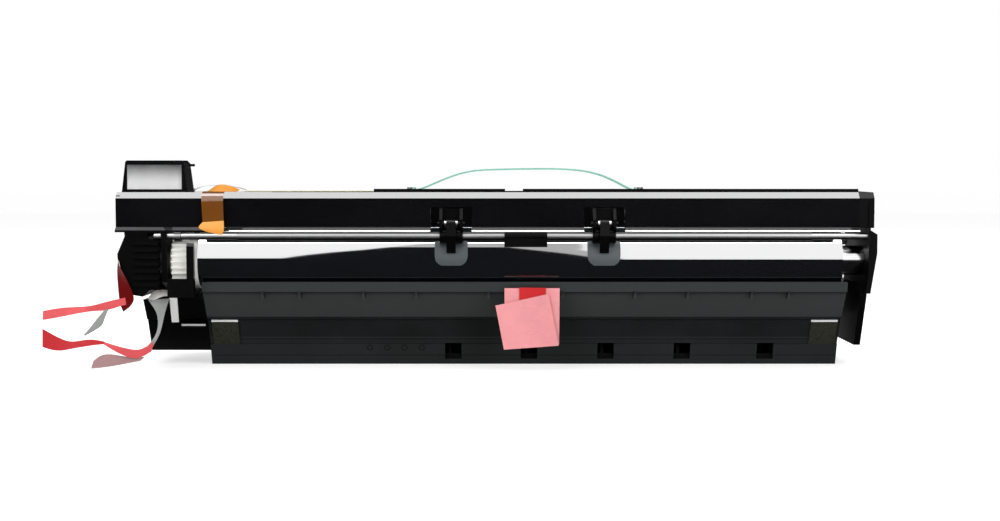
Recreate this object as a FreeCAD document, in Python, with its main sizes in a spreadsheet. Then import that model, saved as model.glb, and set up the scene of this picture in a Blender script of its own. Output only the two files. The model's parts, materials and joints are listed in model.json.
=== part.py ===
import FreeCAD, Part
import math
import os
import Sketcher

# Drum unit of a wide-format printer. Millimetres, Z up, X along the drum.
# The origin is the middle of the flat underside that the unit stands on.
# Positions called ahead are toward the paper side, from the drum axis; positions called behind are
# on the other side of it. Heights are above the rest face.

SIZES = {
    # Drum
    "drum_height": 59.0,
    "drum_radius": 15.0,
    "drum_wall": 1.0,
    "drum_left": 160.0,
    "drum_right": 187.0,
    "running_clearance": 0.05,
    "plug_depth": 8.0,
    "hub_radius": 8.0,
    "hub_journal_radius": 5.0,
    "locating_bore_radius": 3.0,
    "locating_bore_depth": 10.0,
    "drive_journal_radius": 7.0,
    "drive_bore_radius": 4.0,
    "drive_bore_depth": 12.0,
    "bush_wall": 1.5,
    "bush_rim": 1.2,
    # Side plates
    "left_plate_x": 179.0,
    "left_plate_thickness": 3.0,
    "right_plate_x": 200.0,
    "right_plate_thickness": 4.0,
    "lower_plate_x": 197.5,
    "lower_plate_thickness": 3.5,
    # Upper case
    "case_left": 203.0,
    "case_right": 195.0,
    "case_front": 17.0,
    "case_back": 40.0,
    "case_wall": 2.2,
    "case_front_bevel": 3.2,
    "case_back_bevel": 4.0,
    "lip_reach": 5.8,
    "lip_thickness": 1.8,
    "ledge_reach": 2.5,
    "ledge_height": 2.2,
    "ledge_back": 16.0,
    "partition_behind": 21.5,
    "ridge_height": 1.8,
    "ridge_width": 3.0,
    "ridge_behind": -13.6,
    "ridge_left": 65.0,
    "ridge_gap_left": 5.4,
    "ridge_gap_right": 15.0,
    "cap_reach": 8.0,
    # Separation pawls
    "recess_width": 22.0,
    "recess_depth": 4.5,
    "recess_wall": 1.5,
    "pawl_left_x": 23.5,
    "pawl_right_x": 58.6,
    "rod_ahead": 14.0,
    "rod_radius": 2.5,
    "rod_end_radius": 1.8,
    "rod_thick_left": 138.0,
    "rod_thick_right": 170.0,
    "rod_end_play": 4.0,
    "collar_radius": 3.0,
    "collar_left": 172.0,
    "collar_length": 3.5,
    "bracket_width": 12.4,
    "bracket_cheek": 1.6,
    "bracket_ring": 1.1,
    "bracket_web": 1.5,
    "bracket_web_ahead": 14.8,
    "pivot_ahead": 18.0,
    "pin_radius": 1.2,
    "pin_length": 14.4,
    "pawl_width": 5.0,
    "pawl_hub_radius": 2.3,
    "pawl_tip_gap": 1.4,
    "pawl_tip_angle": 160.0,
    "spring_radius": 1.9,
    "spring_width": 1.0,
    "shield_width": 17.7,
    "shield_gap": 0.3,
    "shield_thickness": 0.3,
    "shield_first_angle": 118.0,
    "shield_last_angle": 188.0,
    "clip_left": 5.0,
    "clip_width": 23.0,
    "clip_wall": 1.4,
    "clip_tab_ahead": 17.8,
    "clip_tab_thickness": 1.5,
    # Lower case
    "lower_left": 158.0,
    "lower_right": 190.0,
    "lower_wall": 2.0,
    "lower_lip_ahead": 12.8,
    "lip_front_ahead": 13.6,
    "lip_foot_ahead": 12.6,
    "slope_top_ahead": 10.2,
    "slope_foot_behind": 2.0,
    "step_width": 2.0,
    "step_drop": 0.5,
    "band_foot_behind": 12.0,
    "band_foot_height": 12.0,
    "strip_back": 0.6,
    "strip_foot_behind": 16.0,
    "lower_back": 74.0,
    "lower_back_bevel": 4.0,
    "end_wall_drum_gap": 2.0,
    "rib_thickness": 1.6,
    "rib_spacing": 42.4,
    "window_size": 9.2,
    "window_bottom": 3.0,
    "window_depth": 6.0,
    "window_1_x": -23.2,
    "window_2_x": 18.9,
    "window_3_x": 61.5,
    "window_4_x": 104.0,
    "window_5_x": 150.2,
    "small_rib_width": 1.2,
    "small_rib_height": 3.6,
    "small_rib_reach": 1.1,
    "small_rib_middle": 16.5,
    "pad_length": 14.5,
    "pad_thickness": 0.8,
    "pad_left_x": 156.0,
    "pad_right_x": 174.0,
    # Gears, all of the same module
    "gear_module": 1.0,
    "gear_left": 174.0,
    "gear_width": 9.0,
    "link_gear_left": 194.6,
    "link_gear_width": 2.6,
    "pressure_angle": 20.0,
    "backlash": 0.24,
    "drum_teeth": 30,
    "developer_teeth": 17,
    "auger_teeth": 20,
    "waste_teeth": 18,
    # Developer roller and augers
    "developer_angle": -25.0,
    "developer_radius": 8.0,
    "developer_left": 155.0,
    "developer_right": 186.0,
    "shaft_radius": 3.0,
    "auger_angle": -35.0,
    "rear_auger_behind": 19.9,
    "auger_drop": 2.0,
    "auger_radius": 8.6,
    "trough_gap": 0.6,
    "blade_tilt": 32.0,
    "blade_thickness": 1.2,
    "blade_pitch": 21.0,
    "blade_count": 16,
    "first_blade_x": 148.0,
    "supply_left": 197.0,
    # Developer tray and cover
    "tray_end_gap": 0.2,
    "tray_wall": 2.0,
    "tray_front": 10.5,
    "cover_thickness": 2.0,
    "cover_front": 29.0,
    "doctor_thickness": 1.5,
    "doctor_gap": 0.5,
    "doctor_angle": 36.0,
    "doctor_back": 40.0,
    "screw_head_radius": 2.6,
    "screw_head_height": 1.4,
    "screw_shank_radius": 1.4,
    # Charge roller
    "charge_angle": 30.0,
    "charge_radius": 6.0,
    "charge_gap": 0.3,
    "charge_left": 156.0,
    "charge_right": 184.0,
    "bearing_radius": 5.2,
    "bearing_width": 6.0,
    "charge_spring_radius": 2.2,
    "cleaner_width": 8.0,
    # Cleaning blade and waste auger
    "waste_angle": 95.0,
    "waste_radius": 5.5,
    "waste_shaft_radius": 2.0,
    "waste_blade_pitch": 11.0,
    "waste_blade_count": 31,
    "tip_angle": 77.0,
    "tip_gap": 0.3,
    "cleaning_slope": 25.0,
    "cleaning_length": 12.0,
    "cleaning_thickness": 2.0,
    "cleaning_left": 157.0,
    "cleaning_right": 184.0,
    "holder_thickness": 1.5,
    "holder_grip": 7.0,
    "seal_angle": 108.0,
    "seal_thickness": 0.3,
    # Drive cover and toner tower
    "cover_back": 70.0,
    "cover_front_ahead": 13.0,
    "cover_wall": 2.2,
    "cover_hole_radius": 8.0,
    "fin_pitch": 3.75,
    "fin_count": 7,
    "fin_thickness": 1.4,
    "fin_reach": 2.0,
    "cover_left": 199.5,
    "tower_left": 203.0,
    "tower_right": 167.2,
    "tower_front": -2.0,
    "tower_back": 17.0,
    "tower_wall": 2.0,
    "tower_slope": 2.0,
    "tower_corner": 1.6,
    "panel_border": 2.2,
    "panel_depth": 0.7,
    "chute_left": 196.0,
    "chute_width": 12.0,
    "chute_span": 12.0,
    "chute_wall": 1.5,
    "chute_behind": 2.0,
    "supply_radius": 8.8,
    "port_width": 14.0,
    "port_height": 9.0,
    "port_left": 196.0,
    "shutter_thickness": 1.4,
    "shutter_margin": 1.5,
    "rail_reach": 3.0,
    "rail_thickness": 1.4,
    "slide_gap": 0.1,
    # Gear cover
    "gear_cover_left": 191.0,
    "ledge_left": 171.5,
    "foam_left": 177.0,
    "apron_left": 175.5,
    "apron_right": 160.8,
    "apron_ahead": 18.6,
    "apron_thickness": 1.7,
    "strut_left": 165.0,
    "strut_width": 3.8,
    "strut_ahead": 19.2,
    "strut_thickness": 3.2,
    "gear_cover_back": 46.5,
    "gear_cover_bottom": 8.0,
    "gear_cover_wall": 2.0,
    # Strap, tapes and films
    "strap_left": 43.0,
    "strap_right": 76.5,
    "strap_rise": 12.9,
    "strap_thickness": 0.8,
    "strap_width": 10.0,
    "strap_behind": 15.0,
    "strap_tab": 7.0,
    "label_left": 139.0,
    "label_length": 77.0,
    "label_front": 8.0,
    "label_width": 18.0,
    "film_thickness": 0.4,
    "amber_left": 157.0,
    "amber_width": 12.0,
    "amber_back": 8.0,
    "tag_thickness": 0.5,
    "tape_width": 10.0,
}

# Heights above the drum axis, or below it where negative
LEVELS = {
    "case_bottom": 18.2,
    "case_top": 37.3,
    "case_back_bottom": 6.0,
    "partition_bottom": 19.5,
    "recess_top": 29.4,
    "rod_height": 13.6,
    "bracket_top": 28.6,
    "pivot_height": 20.3,
    "clip_tab_bottom": 8.0,
    "lower_lip_height": -11.0,
    "lip_front_height": -12.0,
    "lip_foot_height": -16.5,
    "slope_top_height": -17.0,
    "lower_back_top": -5.0,
    "end_wall_top": -2.0,
    "tray_front_top": -15.0,
    "tray_front_bottom": -20.6,
    "tray_top": -7.0,
    "tray_underside": -35.0,
    "fin_first_height": -13.5,
    "tower_top": 54.4,
    "port_bottom": 40.5,
    "gear_cover_top": -21.0,
    "slope_foot_height": -32.5,
    "amber_bottom": 14.5,
    "apron_top": -9.0,
    "apron_floor": -17.2,
    "guard_strut_top": 10.0,
    "plate_neck": 17.0,
    "plate_shoulder": 14.8,
    "plate_waist": 4.5,
    "chute_foot": -18.0,
}

document = FreeCAD.newDocument("drum_unit")
sheet = document.addObject("Spreadsheet::Sheet", "Sizes")
for row, (alias, number) in enumerate([*SIZES.items(), *LEVELS.items()], start=1):
    sheet.set("A%d" % row, alias)
    sheet.set("B%d" % row, str(number))
    sheet.setAlias("B%d" % row, alias)
document.recompute()


class Size:
    """A number together with the sheet formula that gives it."""

    def __init__(self, value, formula):
        self.value = float(value)
        self.formula = formula

    def joined(self, sign, other, value):
        return Size(value, "(%s %s %s)" % (self.formula, sign, other.formula))

    def __add__(self, other):
        other = as_size(other)
        return self.joined("+", other, self.value + other.value)

    def __sub__(self, other):
        other = as_size(other)
        return self.joined("-", other, self.value - other.value)

    def __mul__(self, other):
        other = as_size(other)
        return self.joined("*", other, self.value * other.value)

    def __truediv__(self, other):
        other = as_size(other)
        return self.joined("/", other, self.value / other.value)

    def __neg__(self):
        return Size(-self.value, "(0 - %s)" % self.formula)

    def __radd__(self, other):
        return as_size(other) + self

    def __rsub__(self, other):
        return as_size(other) - self

    def __rmul__(self, other):
        return as_size(other) * self


def as_size(number):
    return number if isinstance(number, Size) else Size(number, repr(float(number)))


def cosine(angle):
    angle = as_size(angle)
    return Size(math.cos(math.radians(angle.value)), "cos(%s * 1 deg)" % angle.formula)


def sine(angle):
    angle = as_size(angle)
    return Size(math.sin(math.radians(angle.value)), "sin(%s * 1 deg)" % angle.formula)


class Cells:
    """Gives each named cell as a Size, added to a base where there is one."""

    def __init__(self, base=None):
        self.base = base

    def __getattr__(self, alias):
        cell = Size(getattr(sheet, alias), "Sizes." + alias)
        return cell if self.base is None else self.base + cell


size = Cells()
level = Cells(size.drum_height)


def bind(item, prop, amount):
    item.setExpression(prop, as_size(amount).formula)


class Circle:
    def __init__(self, across, up, radius):
        self.centre = (as_size(across), as_size(up))
        self.radius = as_size(radius)


def rectangle(left, right, bottom, top):
    return [(left, bottom), (right, bottom), (right, top), (left, top)]


def draw_polygon(sketch, points):
    points = [(as_size(across), as_size(up)) for across, up in points]
    first = sketch.GeometryCount
    count = len(points)
    corners = [FreeCAD.Vector(across.value, up.value, 0) for across, up in points]
    for index in range(count):
        sketch.addGeometry(Part.LineSegment(corners[index], corners[(index + 1) % count]), False)
    for index in range(count):
        following = first + (index + 1) % count
        sketch.addConstraint(Sketcher.Constraint("Coincident", first + index, 2, following, 1))
    for index, (across, up) in enumerate(points):
        for kind, place in (("DistanceX", across), ("DistanceY", up)):
            rule = Sketcher.Constraint(kind, -1, 1, first + index, 1, place.value)
            number = sketch.addConstraint(rule)
            sketch.setExpression("Constraints[%d]" % number, place.formula)


def draw_circle(sketch, circle):
    across, up = circle.centre
    middle = FreeCAD.Vector(across.value, up.value, 0)
    line = sketch.addGeometry(Part.Circle(middle, FreeCAD.Vector(0, 0, 1), circle.radius.value), False)
    rules = (
        (Sketcher.Constraint("DistanceX", -1, 1, line, 3, across.value), across),
        (Sketcher.Constraint("DistanceY", -1, 1, line, 3, up.value), up),
        (Sketcher.Constraint("Radius", line, circle.radius.value), circle.radius),
    )
    for rule, amount in rules:
        number = sketch.addConstraint(rule)
        sketch.setExpression("Constraints[%d]" % number, amount.formula)


class Piece:
    """One body of the unit, built from sketches that are padded and pocketed."""

    def __init__(self, label, at=None):
        self.body = document.addObject("PartDesign::Body", label)
        self.body.Label = label
        if hasattr(self.body, "AllowCompound"):
            self.body.AllowCompound = True
        for axis, place in zip("xyz", at or ()):
            bind(self.body, "Placement.Base.%s" % axis, place)

    def origin(self, role):
        return [part for part in self.body.Origin.OriginFeatures if part.Role == role][0]

    def sketch(self, plane, start, loops):
        sketch = self.body.newObject("Sketcher::SketchObject", self.body.Label + "_outline")
        sketch.AttachmentSupport = [(self.origin(plane + "_Plane"), "")]
        sketch.MapMode = "FlatFace"
        bind(sketch, "AttachmentOffset.Base.z", -as_size(start) if plane == "XZ" else start)
        for loop in loops:
            if isinstance(loop, Circle):
                draw_circle(sketch, loop)
            else:
                draw_polygon(sketch, loop)
        return sketch

    def feature(self, kind, plane, start, length, loops):
        sketch = self.sketch(plane, start, loops)
        feature = self.body.newObject("PartDesign::" + kind, self.body.Label + "_" + kind.lower())
        feature.Profile = sketch
        feature.Reversed = (plane == "XZ") != (kind == "Pocket")
        bind(feature, "Length", length)
        self.last = feature
        return feature

    def pad(self, plane, start, length, *loops):
        return self.feature("Pad", plane, start, length, loops)

    def pocket(self, plane, start, length, *loops):
        return self.feature("Pocket", plane, start, length, loops)

    def row(self, feature, axis, count, pitch):
        """Repeats a feature along an axis with a fixed pitch."""
        pattern = self.body.newObject("PartDesign::LinearPattern", self.body.Label + "_row")
        pattern.Originals = [feature]
        pattern.Direction = (self.origin(axis + "_Axis"), [""])
        bind(pattern, "Length", (as_size(count) - 1) * pitch)
        bind(pattern, "Occurrences", count)
        self.body.Tip = pattern
        return pattern

    def ring_of(self, feature, count):
        """Repeats a feature round the body's own X axis."""
        pattern = self.body.newObject("PartDesign::PolarPattern", self.body.Label + "_teeth")
        pattern.Originals = [feature]
        pattern.Axis = (self.origin("X_Axis"), [""])
        pattern.Angle = 360
        bind(pattern, "Occurrences", count)
        self.body.Tip = pattern
        return pattern


def solid(label, shape):
    """A piece whose form is worked out directly, such as a bent strap."""
    part = document.addObject("Part::Feature", label)
    part.Label = label
    part.Shape = shape
    return part


# Places shared by several pieces

AXIS_Y = -(size.strip_foot_behind + size.lower_back - size.lower_back_bevel) / 2
AXIS_Z = size.drum_height


def at(behind, height):
    """A point of a section across the unit: distance behind the drum axis, and height."""
    return (AXIS_Y + behind, as_size(height))


def polar(radius, angle):
    """A point of the section at a radius and angle round the drum axis."""
    return (AXIS_Y + as_size(radius) * cosine(angle), AXIS_Z + as_size(radius) * sine(angle))


def pitch_radius(teeth):
    return size.gear_module * teeth / 2


developer_reach = pitch_radius(size.drum_teeth) + pitch_radius(size.developer_teeth)
DEVELOPER = polar(developer_reach, size.developer_angle)
front_reach = pitch_radius(size.developer_teeth) + pitch_radius(size.auger_teeth)
FRONT_AUGER = (
    DEVELOPER[0] + front_reach * cosine(size.auger_angle),
    DEVELOPER[1] + front_reach * sine(size.auger_angle),
)
link_angle_value = math.degrees(math.asin(size.auger_drop.value / (2 * pitch_radius(size.auger_teeth).value)))
link_cosine = Size(
    math.cos(math.radians(link_angle_value)),
    "sqrt(1 - (Sizes.auger_drop / (Sizes.gear_module * Sizes.auger_teeth))^2)",
)
REAR_AUGER = (
    FRONT_AUGER[0] + pitch_radius(size.auger_teeth) * 2 * link_cosine,
    FRONT_AUGER[1] - size.auger_drop,
)
waste_reach = pitch_radius(size.drum_teeth) + pitch_radius(size.waste_teeth)
WASTE_AUGER = polar(waste_reach, size.waste_angle)
charge_reach = size.drum_radius + size.charge_radius + size.charge_gap
CHARGE = polar(charge_reach, size.charge_angle)
ROD = at(-size.rod_ahead, level.rod_height)
PIVOT = at(-size.pivot_ahead, level.pivot_height)


def circle_at(point, radius):
    return Circle(point[0], point[1], radius)


TRAY_BACK = size.lower_back - size.lower_wall - size.tray_end_gap
shaft_bore = size.shaft_radius + size.running_clearance

# Gears


def involute(angle):
    return math.tan(angle) - angle


def tooth_points(teeth, phase):
    """One tooth of an involute gear, seen along X, centred on the phase angle in radians."""
    module = size.gear_module.value
    pitch = module * teeth / 2
    pressure = math.radians(size.pressure_angle.value)
    base = pitch * math.cos(pressure)
    root = pitch - 1.25 * module
    tip = pitch + module
    half_pitch = (math.pi * module / 2 - size.backlash.value) / 2 / pitch
    flank = []
    start = max(base, root)
    for share in (0.0, 0.3, 0.65, 1.0):
        radius = start + (tip - start) * share
        turn = half_pitch + involute(pressure) - involute(math.acos(min(1.0, base / radius)))
        flank.append((radius, turn))
    flank.insert(0, (root - 0.4 * module, flank[0][1]))
    right = [(radius, phase - turn) for radius, turn in flank]
    left = [(radius, phase + turn) for radius, turn in reversed(flank)]
    return [(radius * math.cos(turn), radius * math.sin(turn)) for radius, turn in right + left]


def add_teeth(piece, teeth, phase, start, width):
    """Root disc and teeth of a gear on a piece whose placement is the gear's axis."""
    root = pitch_radius(teeth) - size.gear_module * 1.25
    piece.pad("YZ", start, width, Circle(0, 0, root))
    count = int(teeth.value)
    outline = tooth_points(count, phase)
    tooth = piece.pad("YZ", start, width, outline)
    piece.ring_of(tooth, teeth)


def meshing_phase(toward, teeth, phase, other_teeth):
    """Phase of the other gear so that its gap meets a tooth of the first along the line of centres."""
    pitch = 2 * math.pi / teeth
    other_pitch = 2 * math.pi / other_teeth
    share = ((toward - phase) / pitch) % 1.0
    return toward + math.pi - (0.5 - share) * other_pitch


def direction(start, end):
    return math.atan2(end[1].value - start[1].value, end[0].value - start[0].value)


def centre(point):
    return (0, point[0], point[1])


drum_centre = (AXIS_Y, AXIS_Z)
drum_count = int(size.drum_teeth.value)
developer_count = int(size.developer_teeth.value)
auger_count = int(size.auger_teeth.value)
waste_count = int(size.waste_teeth.value)
drum_phase = 0.0
developer_phase = meshing_phase(
    direction(drum_centre, DEVELOPER), drum_count, drum_phase, developer_count)
auger_phase = meshing_phase(
    direction(DEVELOPER, FRONT_AUGER), developer_count, developer_phase, auger_count)
rear_phase = meshing_phase(direction(FRONT_AUGER, REAR_AUGER), auger_count, auger_phase, auger_count)
waste_phase = meshing_phase(direction(drum_centre, WASTE_AUGER), drum_count, drum_phase, waste_count)

# Drum

drum = Piece("drum_tube", centre(drum_centre))
drum.pad(
    "YZ", -size.drum_left, size.drum_left + size.drum_right,
    Circle(0, 0, size.drum_radius), Circle(0, 0, size.drum_radius - size.drum_wall),
)

plate_left_inner = -size.left_plate_x + size.left_plate_thickness
flange_left = -size.gear_left - 1.6
journal_left = -size.left_plate_x - 4.0
gear = Piece("drum_gear", centre(drum_centre))
add_teeth(gear, size.drum_teeth, drum_phase, -size.gear_left, size.gear_width)
gear.pad("YZ", -size.gear_left + size.gear_width, size.gear_left - size.gear_width - size.drum_left,
         Circle(0, 0, size.drum_radius))
gear.pad("YZ", -size.drum_left, size.plug_depth, Circle(0, 0, size.drum_radius - size.drum_wall))
gear.pad("YZ", journal_left, -journal_left - size.gear_left, Circle(0, 0, size.drive_journal_radius))
gear.pocket("YZ", journal_left, size.drive_bore_depth, Circle(0, 0, size.drive_bore_radius))

hub = Piece("drum_hub", centre(drum_centre))
hub.pad("YZ", size.drum_right - size.plug_depth, size.plug_depth,
        Circle(0, 0, size.drum_radius - size.drum_wall))
hub.pad("YZ", size.drum_right, size.right_plate_x - size.drum_right - 0.3, Circle(0, 0, size.hub_radius))
hub_end = size.right_plate_x + size.right_plate_thickness
hub.pad("YZ", size.right_plate_x - 0.3, size.right_plate_thickness + 0.3,
        Circle(0, 0, size.hub_journal_radius))
hub.pocket("YZ", hub_end - size.locating_bore_depth, size.locating_bore_depth,
           Circle(0, 0, size.locating_bore_radius))

bush_outer = size.drive_journal_radius + size.running_clearance + size.bush_wall
bush_inner = size.drive_journal_radius + size.running_clearance
bush = Piece("drum_bush", centre(drum_centre))
bush.pad("YZ", -size.left_plate_x, size.left_plate_thickness,
         Circle(0, 0, bush_outer), Circle(0, 0, bush_inner))
bush.pad("YZ", -size.left_plate_x - size.bush_rim, size.bush_rim,
         Circle(0, 0, bush_outer + size.bush_rim), Circle(0, 0, bush_inner))

# Charge roller with its bearings, springs and cleaner

charge = Piece("charge_roller", centre(CHARGE))
charge.pad("YZ", -size.charge_left, size.charge_left + size.charge_right,
           Circle(0, 0, size.charge_radius), Circle(0, 0, size.shaft_radius))
charge_shaft = Piece("charge_shaft", centre(CHARGE))
charge_shaft_left = -size.charge_left - size.bearing_width * 2
charge_shaft_right = size.charge_right + size.bearing_width * 2
charge_shaft.pad("YZ", charge_shaft_left, charge_shaft_right - charge_shaft_left,
                 Circle(0, 0, size.shaft_radius))
bearing_bore = size.shaft_radius + size.running_clearance
left_bearing_x = -size.charge_left - size.bearing_width - 2.0
right_bearing_x = size.charge_right + 2.0
bearings = Piece("charge_bearings", centre(CHARGE))
for bearing_x in (left_bearing_x, right_bearing_x):
    bearings.pad("YZ", bearing_x, size.bearing_width,
                 Circle(0, 0, size.bearing_radius), Circle(0, 0, bearing_bore))
spring_foot = CHARGE[1] + size.bearing_radius
springs = Piece("charge_springs", (0, CHARGE[0], 0))
for bearing_x in (left_bearing_x, right_bearing_x):
    middle = bearing_x + size.bearing_width / 2
    springs.pad("XY", spring_foot, level.case_top - size.case_wall - spring_foot,
                Circle(middle, 0, size.charge_spring_radius),
                Circle(middle, 0, size.charge_spring_radius - 0.8))
cleaner = Piece("charge_cleaner")
cleaner_bottom = CHARGE[1] + size.charge_radius + 0.3
cleaner_y = CHARGE[0] - size.cleaner_width / 2 + 3.0
cleaner.pad("YZ", -size.charge_left, size.charge_left + size.charge_right, rectangle(
    cleaner_y, cleaner_y + size.cleaner_width, cleaner_bottom, level.partition_bottom))

# Developer roller

developer = Piece("developer_roller", centre(DEVELOPER))
developer.pad("YZ", -size.developer_left, size.developer_left + size.developer_right,
              Circle(0, 0, size.developer_radius))
developer.pad("YZ", -size.left_plate_x, size.left_plate_x + size.lower_right,
              Circle(0, 0, size.shaft_radius))
developer_gear = Piece("developer_gear", centre(DEVELOPER))
add_teeth(developer_gear, size.developer_teeth, developer_phase, -size.gear_left, size.gear_width)
developer_gear.pocket("YZ", -size.gear_left, size.gear_width, Circle(0, 0, size.shaft_radius))

# Augers: a shaft with tilted discs, which stir the toner and carry it along


def tilted_disc(radius, thickness, tilt):
    """A round disc on the X axis, leaning over, clipped to its running radius."""
    slab = Part.makeBox(thickness, 6 * radius, 6 * radius)
    slab.translate(FreeCAD.Vector(-thickness / 2, -3 * radius, -3 * radius))
    slab.rotate(FreeCAD.Vector(), FreeCAD.Vector(0, 1, 0), tilt)
    reach = 4 * radius
    bar = Part.makeCylinder(radius, reach, FreeCAD.Vector(-reach / 2, 0, 0), FreeCAD.Vector(1, 0, 0))
    return bar.common(slab)


def auger(label, point, shaft_radius, left, right, radius, first, pitch, count, feed=()):
    shaft = Part.makeCylinder(
        shaft_radius, right - left, FreeCAD.Vector(left, 0, 0), FreeCAD.Vector(1, 0, 0))
    discs = []
    for index in range(count):
        disc = tilted_disc(radius, size.blade_thickness.value, size.blade_tilt.value)
        disc.translate(FreeCAD.Vector(first + index * pitch, 0, 0))
        discs.append(disc)
    for place in feed:
        disc = tilted_disc(size.supply_radius.value - 2.2, size.blade_thickness.value, size.blade_tilt.value)
        disc.translate(FreeCAD.Vector(place, 0, 0))
        discs.append(disc)
    part = solid(label, shaft.fuse(discs))
    bind(part, "Placement.Base.y", point[0])
    bind(part, "Placement.Base.z", point[1])


auger_right = size.lower_plate_x.value + size.lower_plate_thickness.value
auger("front_auger", FRONT_AUGER, size.shaft_radius.value, -size.left_plate_x.value, auger_right,
      size.auger_radius.value, -size.first_blade_x.value, size.blade_pitch.value,
      int(size.blade_count.value))
auger("rear_auger", REAR_AUGER, size.shaft_radius.value, -size.supply_left.value, auger_right,
      size.auger_radius.value, -size.first_blade_x.value, size.blade_pitch.value,
      int(size.blade_count.value), (-189.0, -177.0, -165.0))
auger("waste_auger", WASTE_AUGER, size.waste_shaft_radius.value, -size.left_plate_x.value,
      hub_end.value, size.waste_radius.value, -size.first_blade_x.value,
      size.waste_blade_pitch.value, int(size.waste_blade_count.value))
for label, point, teeth, phase, start, width, bore in (
    ("front_auger_gear", FRONT_AUGER, size.auger_teeth, auger_phase, -size.gear_left,
     size.gear_width, size.shaft_radius),
    ("front_link_gear", FRONT_AUGER, size.auger_teeth, auger_phase, size.link_gear_left,
     size.link_gear_width, size.shaft_radius),
    ("rear_link_gear", REAR_AUGER, size.auger_teeth, rear_phase, size.link_gear_left,
     size.link_gear_width, size.shaft_radius),
    ("waste_gear", WASTE_AUGER, size.waste_teeth, waste_phase, -size.gear_left,
     size.gear_width, size.waste_shaft_radius),
):
    wheel = Piece(label, centre(point))
    add_teeth(wheel, teeth, phase, start, width)
    wheel.pocket("YZ", start, width, Circle(0, 0, bore))

# Upper case

case_inner_top = level.case_top - size.case_wall
upper = Piece("upper_case")
upper.pad("YZ", -size.case_left, size.case_left + size.case_right, [
    at(-size.case_front, level.case_bottom),
    at(-size.case_front, level.case_top - size.case_front_bevel),
    at(size.case_front_bevel - size.case_front, level.case_top),
    at(size.case_back - size.case_back_bevel, level.case_top),
    at(size.case_back, level.case_top - size.case_back_bevel),
    at(size.case_back, level.case_back_bottom),
    at(size.case_back - size.case_wall, level.case_back_bottom),
    at(size.case_back - size.case_wall, case_inner_top - size.case_back_bevel + 1),
    at(size.case_back - size.case_back_bevel - 1, case_inner_top),
    at(size.case_front_bevel - size.case_front + 1, case_inner_top),
    at(size.case_wall - size.case_front, case_inner_top - size.case_front_bevel + 1),
    at(size.case_wall - size.case_front, level.case_bottom),
])
lip_left = 0.5 - size.gear_left + size.gear_width
upper.pad("YZ", lip_left, size.case_right - lip_left, rectangle(
    AXIS_Y - size.case_front + 1, AXIS_Y - size.case_front + size.case_wall + size.lip_reach,
    level.case_bottom, level.case_bottom + size.lip_thickness))
upper.pad("YZ", lip_left, size.case_right - lip_left, rectangle(
    AXIS_Y + size.partition_behind, AXIS_Y + size.partition_behind + size.case_wall,
    level.partition_bottom, case_inner_top + 0.5))
upper.pad("YZ", -size.case_left, size.case_wall, rectangle(
    AXIS_Y - size.case_front + 1, AXIS_Y + size.case_back - 1,
    level.case_bottom, case_inner_top + 0.5))
upper.pad("YZ", -size.case_left, size.case_left + size.case_right, [
    at(-size.case_front - size.ledge_reach, level.case_bottom - size.ledge_height / 2),
    at(-size.case_front, level.case_bottom + 0.5),
    at(-size.ledge_back, level.case_bottom + 0.5),
    at(-size.ledge_back, level.case_bottom - size.ledge_height),
    at(-size.case_front - size.ledge_reach, level.case_bottom - size.ledge_height),
])
for ridge_start, ridge_end in (
    (-size.ridge_left, size.ridge_gap_left), (size.ridge_gap_right, size.case_right),
):
    upper.pad("XY", level.case_top - 0.5, size.ridge_height + 0.5, rectangle(
        ridge_start, ridge_end, AXIS_Y + size.ridge_behind,
        AXIS_Y + size.ridge_behind + size.ridge_width))
upper.pocket("YZ", -size.case_left, size.case_left + plate_left_inner + 0.3, rectangle(
    AXIS_Y + size.case_back - size.case_wall - 1, AXIS_Y + size.case_back + 1,
    level.case_back_bottom - 1, level.case_bottom - size.ledge_height))
upper.pocket("XY", level.case_top - size.case_wall - 1, size.case_wall + 2, rectangle(
    -size.chute_left + size.chute_wall, -size.chute_left + size.chute_width - size.chute_wall,
    AXIS_Y + size.chute_behind + size.chute_wall,
    AXIS_Y + size.chute_behind + size.chute_span - size.chute_wall))
pawl_places = (-size.pawl_left_x, size.pawl_right_x)
recess_back = AXIS_Y - size.case_front + size.recess_depth
for place in pawl_places:
    left = place - size.recess_width / 2
    upper.pad("YZ", left - size.recess_wall, size.recess_width + size.recess_wall * 2, rectangle(
        recess_back - size.recess_depth + 1, recess_back + size.recess_wall,
        level.case_bottom, level.recess_top + size.recess_wall))
    upper.pocket("YZ", left, size.recess_width, rectangle(
        recess_back - size.recess_depth - size.ledge_reach - 1, recess_back,
        level.case_bottom - size.ledge_height - 1, level.recess_top))

# Side plates

left_plate = Piece("left_plate")
left_plate.pad("YZ", -size.left_plate_x, size.left_plate_thickness, [
    at(size.case_wall - size.case_front + 0.4, level.case_top - size.case_front_bevel - 2),
    at(size.case_wall - size.case_front + 3, case_inner_top - 0.3),
    at(size.case_back - size.case_wall - 4, case_inner_top - 0.3),
    at(size.case_back - size.case_wall - 0.4, case_inner_top - 4),
    at(size.case_back - size.case_wall - 0.4, level.case_back_bottom - 3),
    at(size.cover_back - 2, level.case_back_bottom - 16),
    at(size.cover_back - 2, size.gear_cover_bottom + 16),
    at(size.gear_cover_back - 4, size.gear_cover_bottom + 12),
    at(size.gear_cover_back - 22, size.gear_cover_bottom + 12),
    at(0, level.slope_top_height),
    at(-size.rod_ahead - 1.5, level.slope_top_height + 6),
    at(-size.rod_ahead - 3.2, level.rod_height - 3),
    at(-size.rod_ahead - 3.2, level.case_bottom - size.ledge_height - 0.3),
    at(size.case_wall - size.case_front + 0.4, level.case_bottom - size.ledge_height - 0.3),
])
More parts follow.
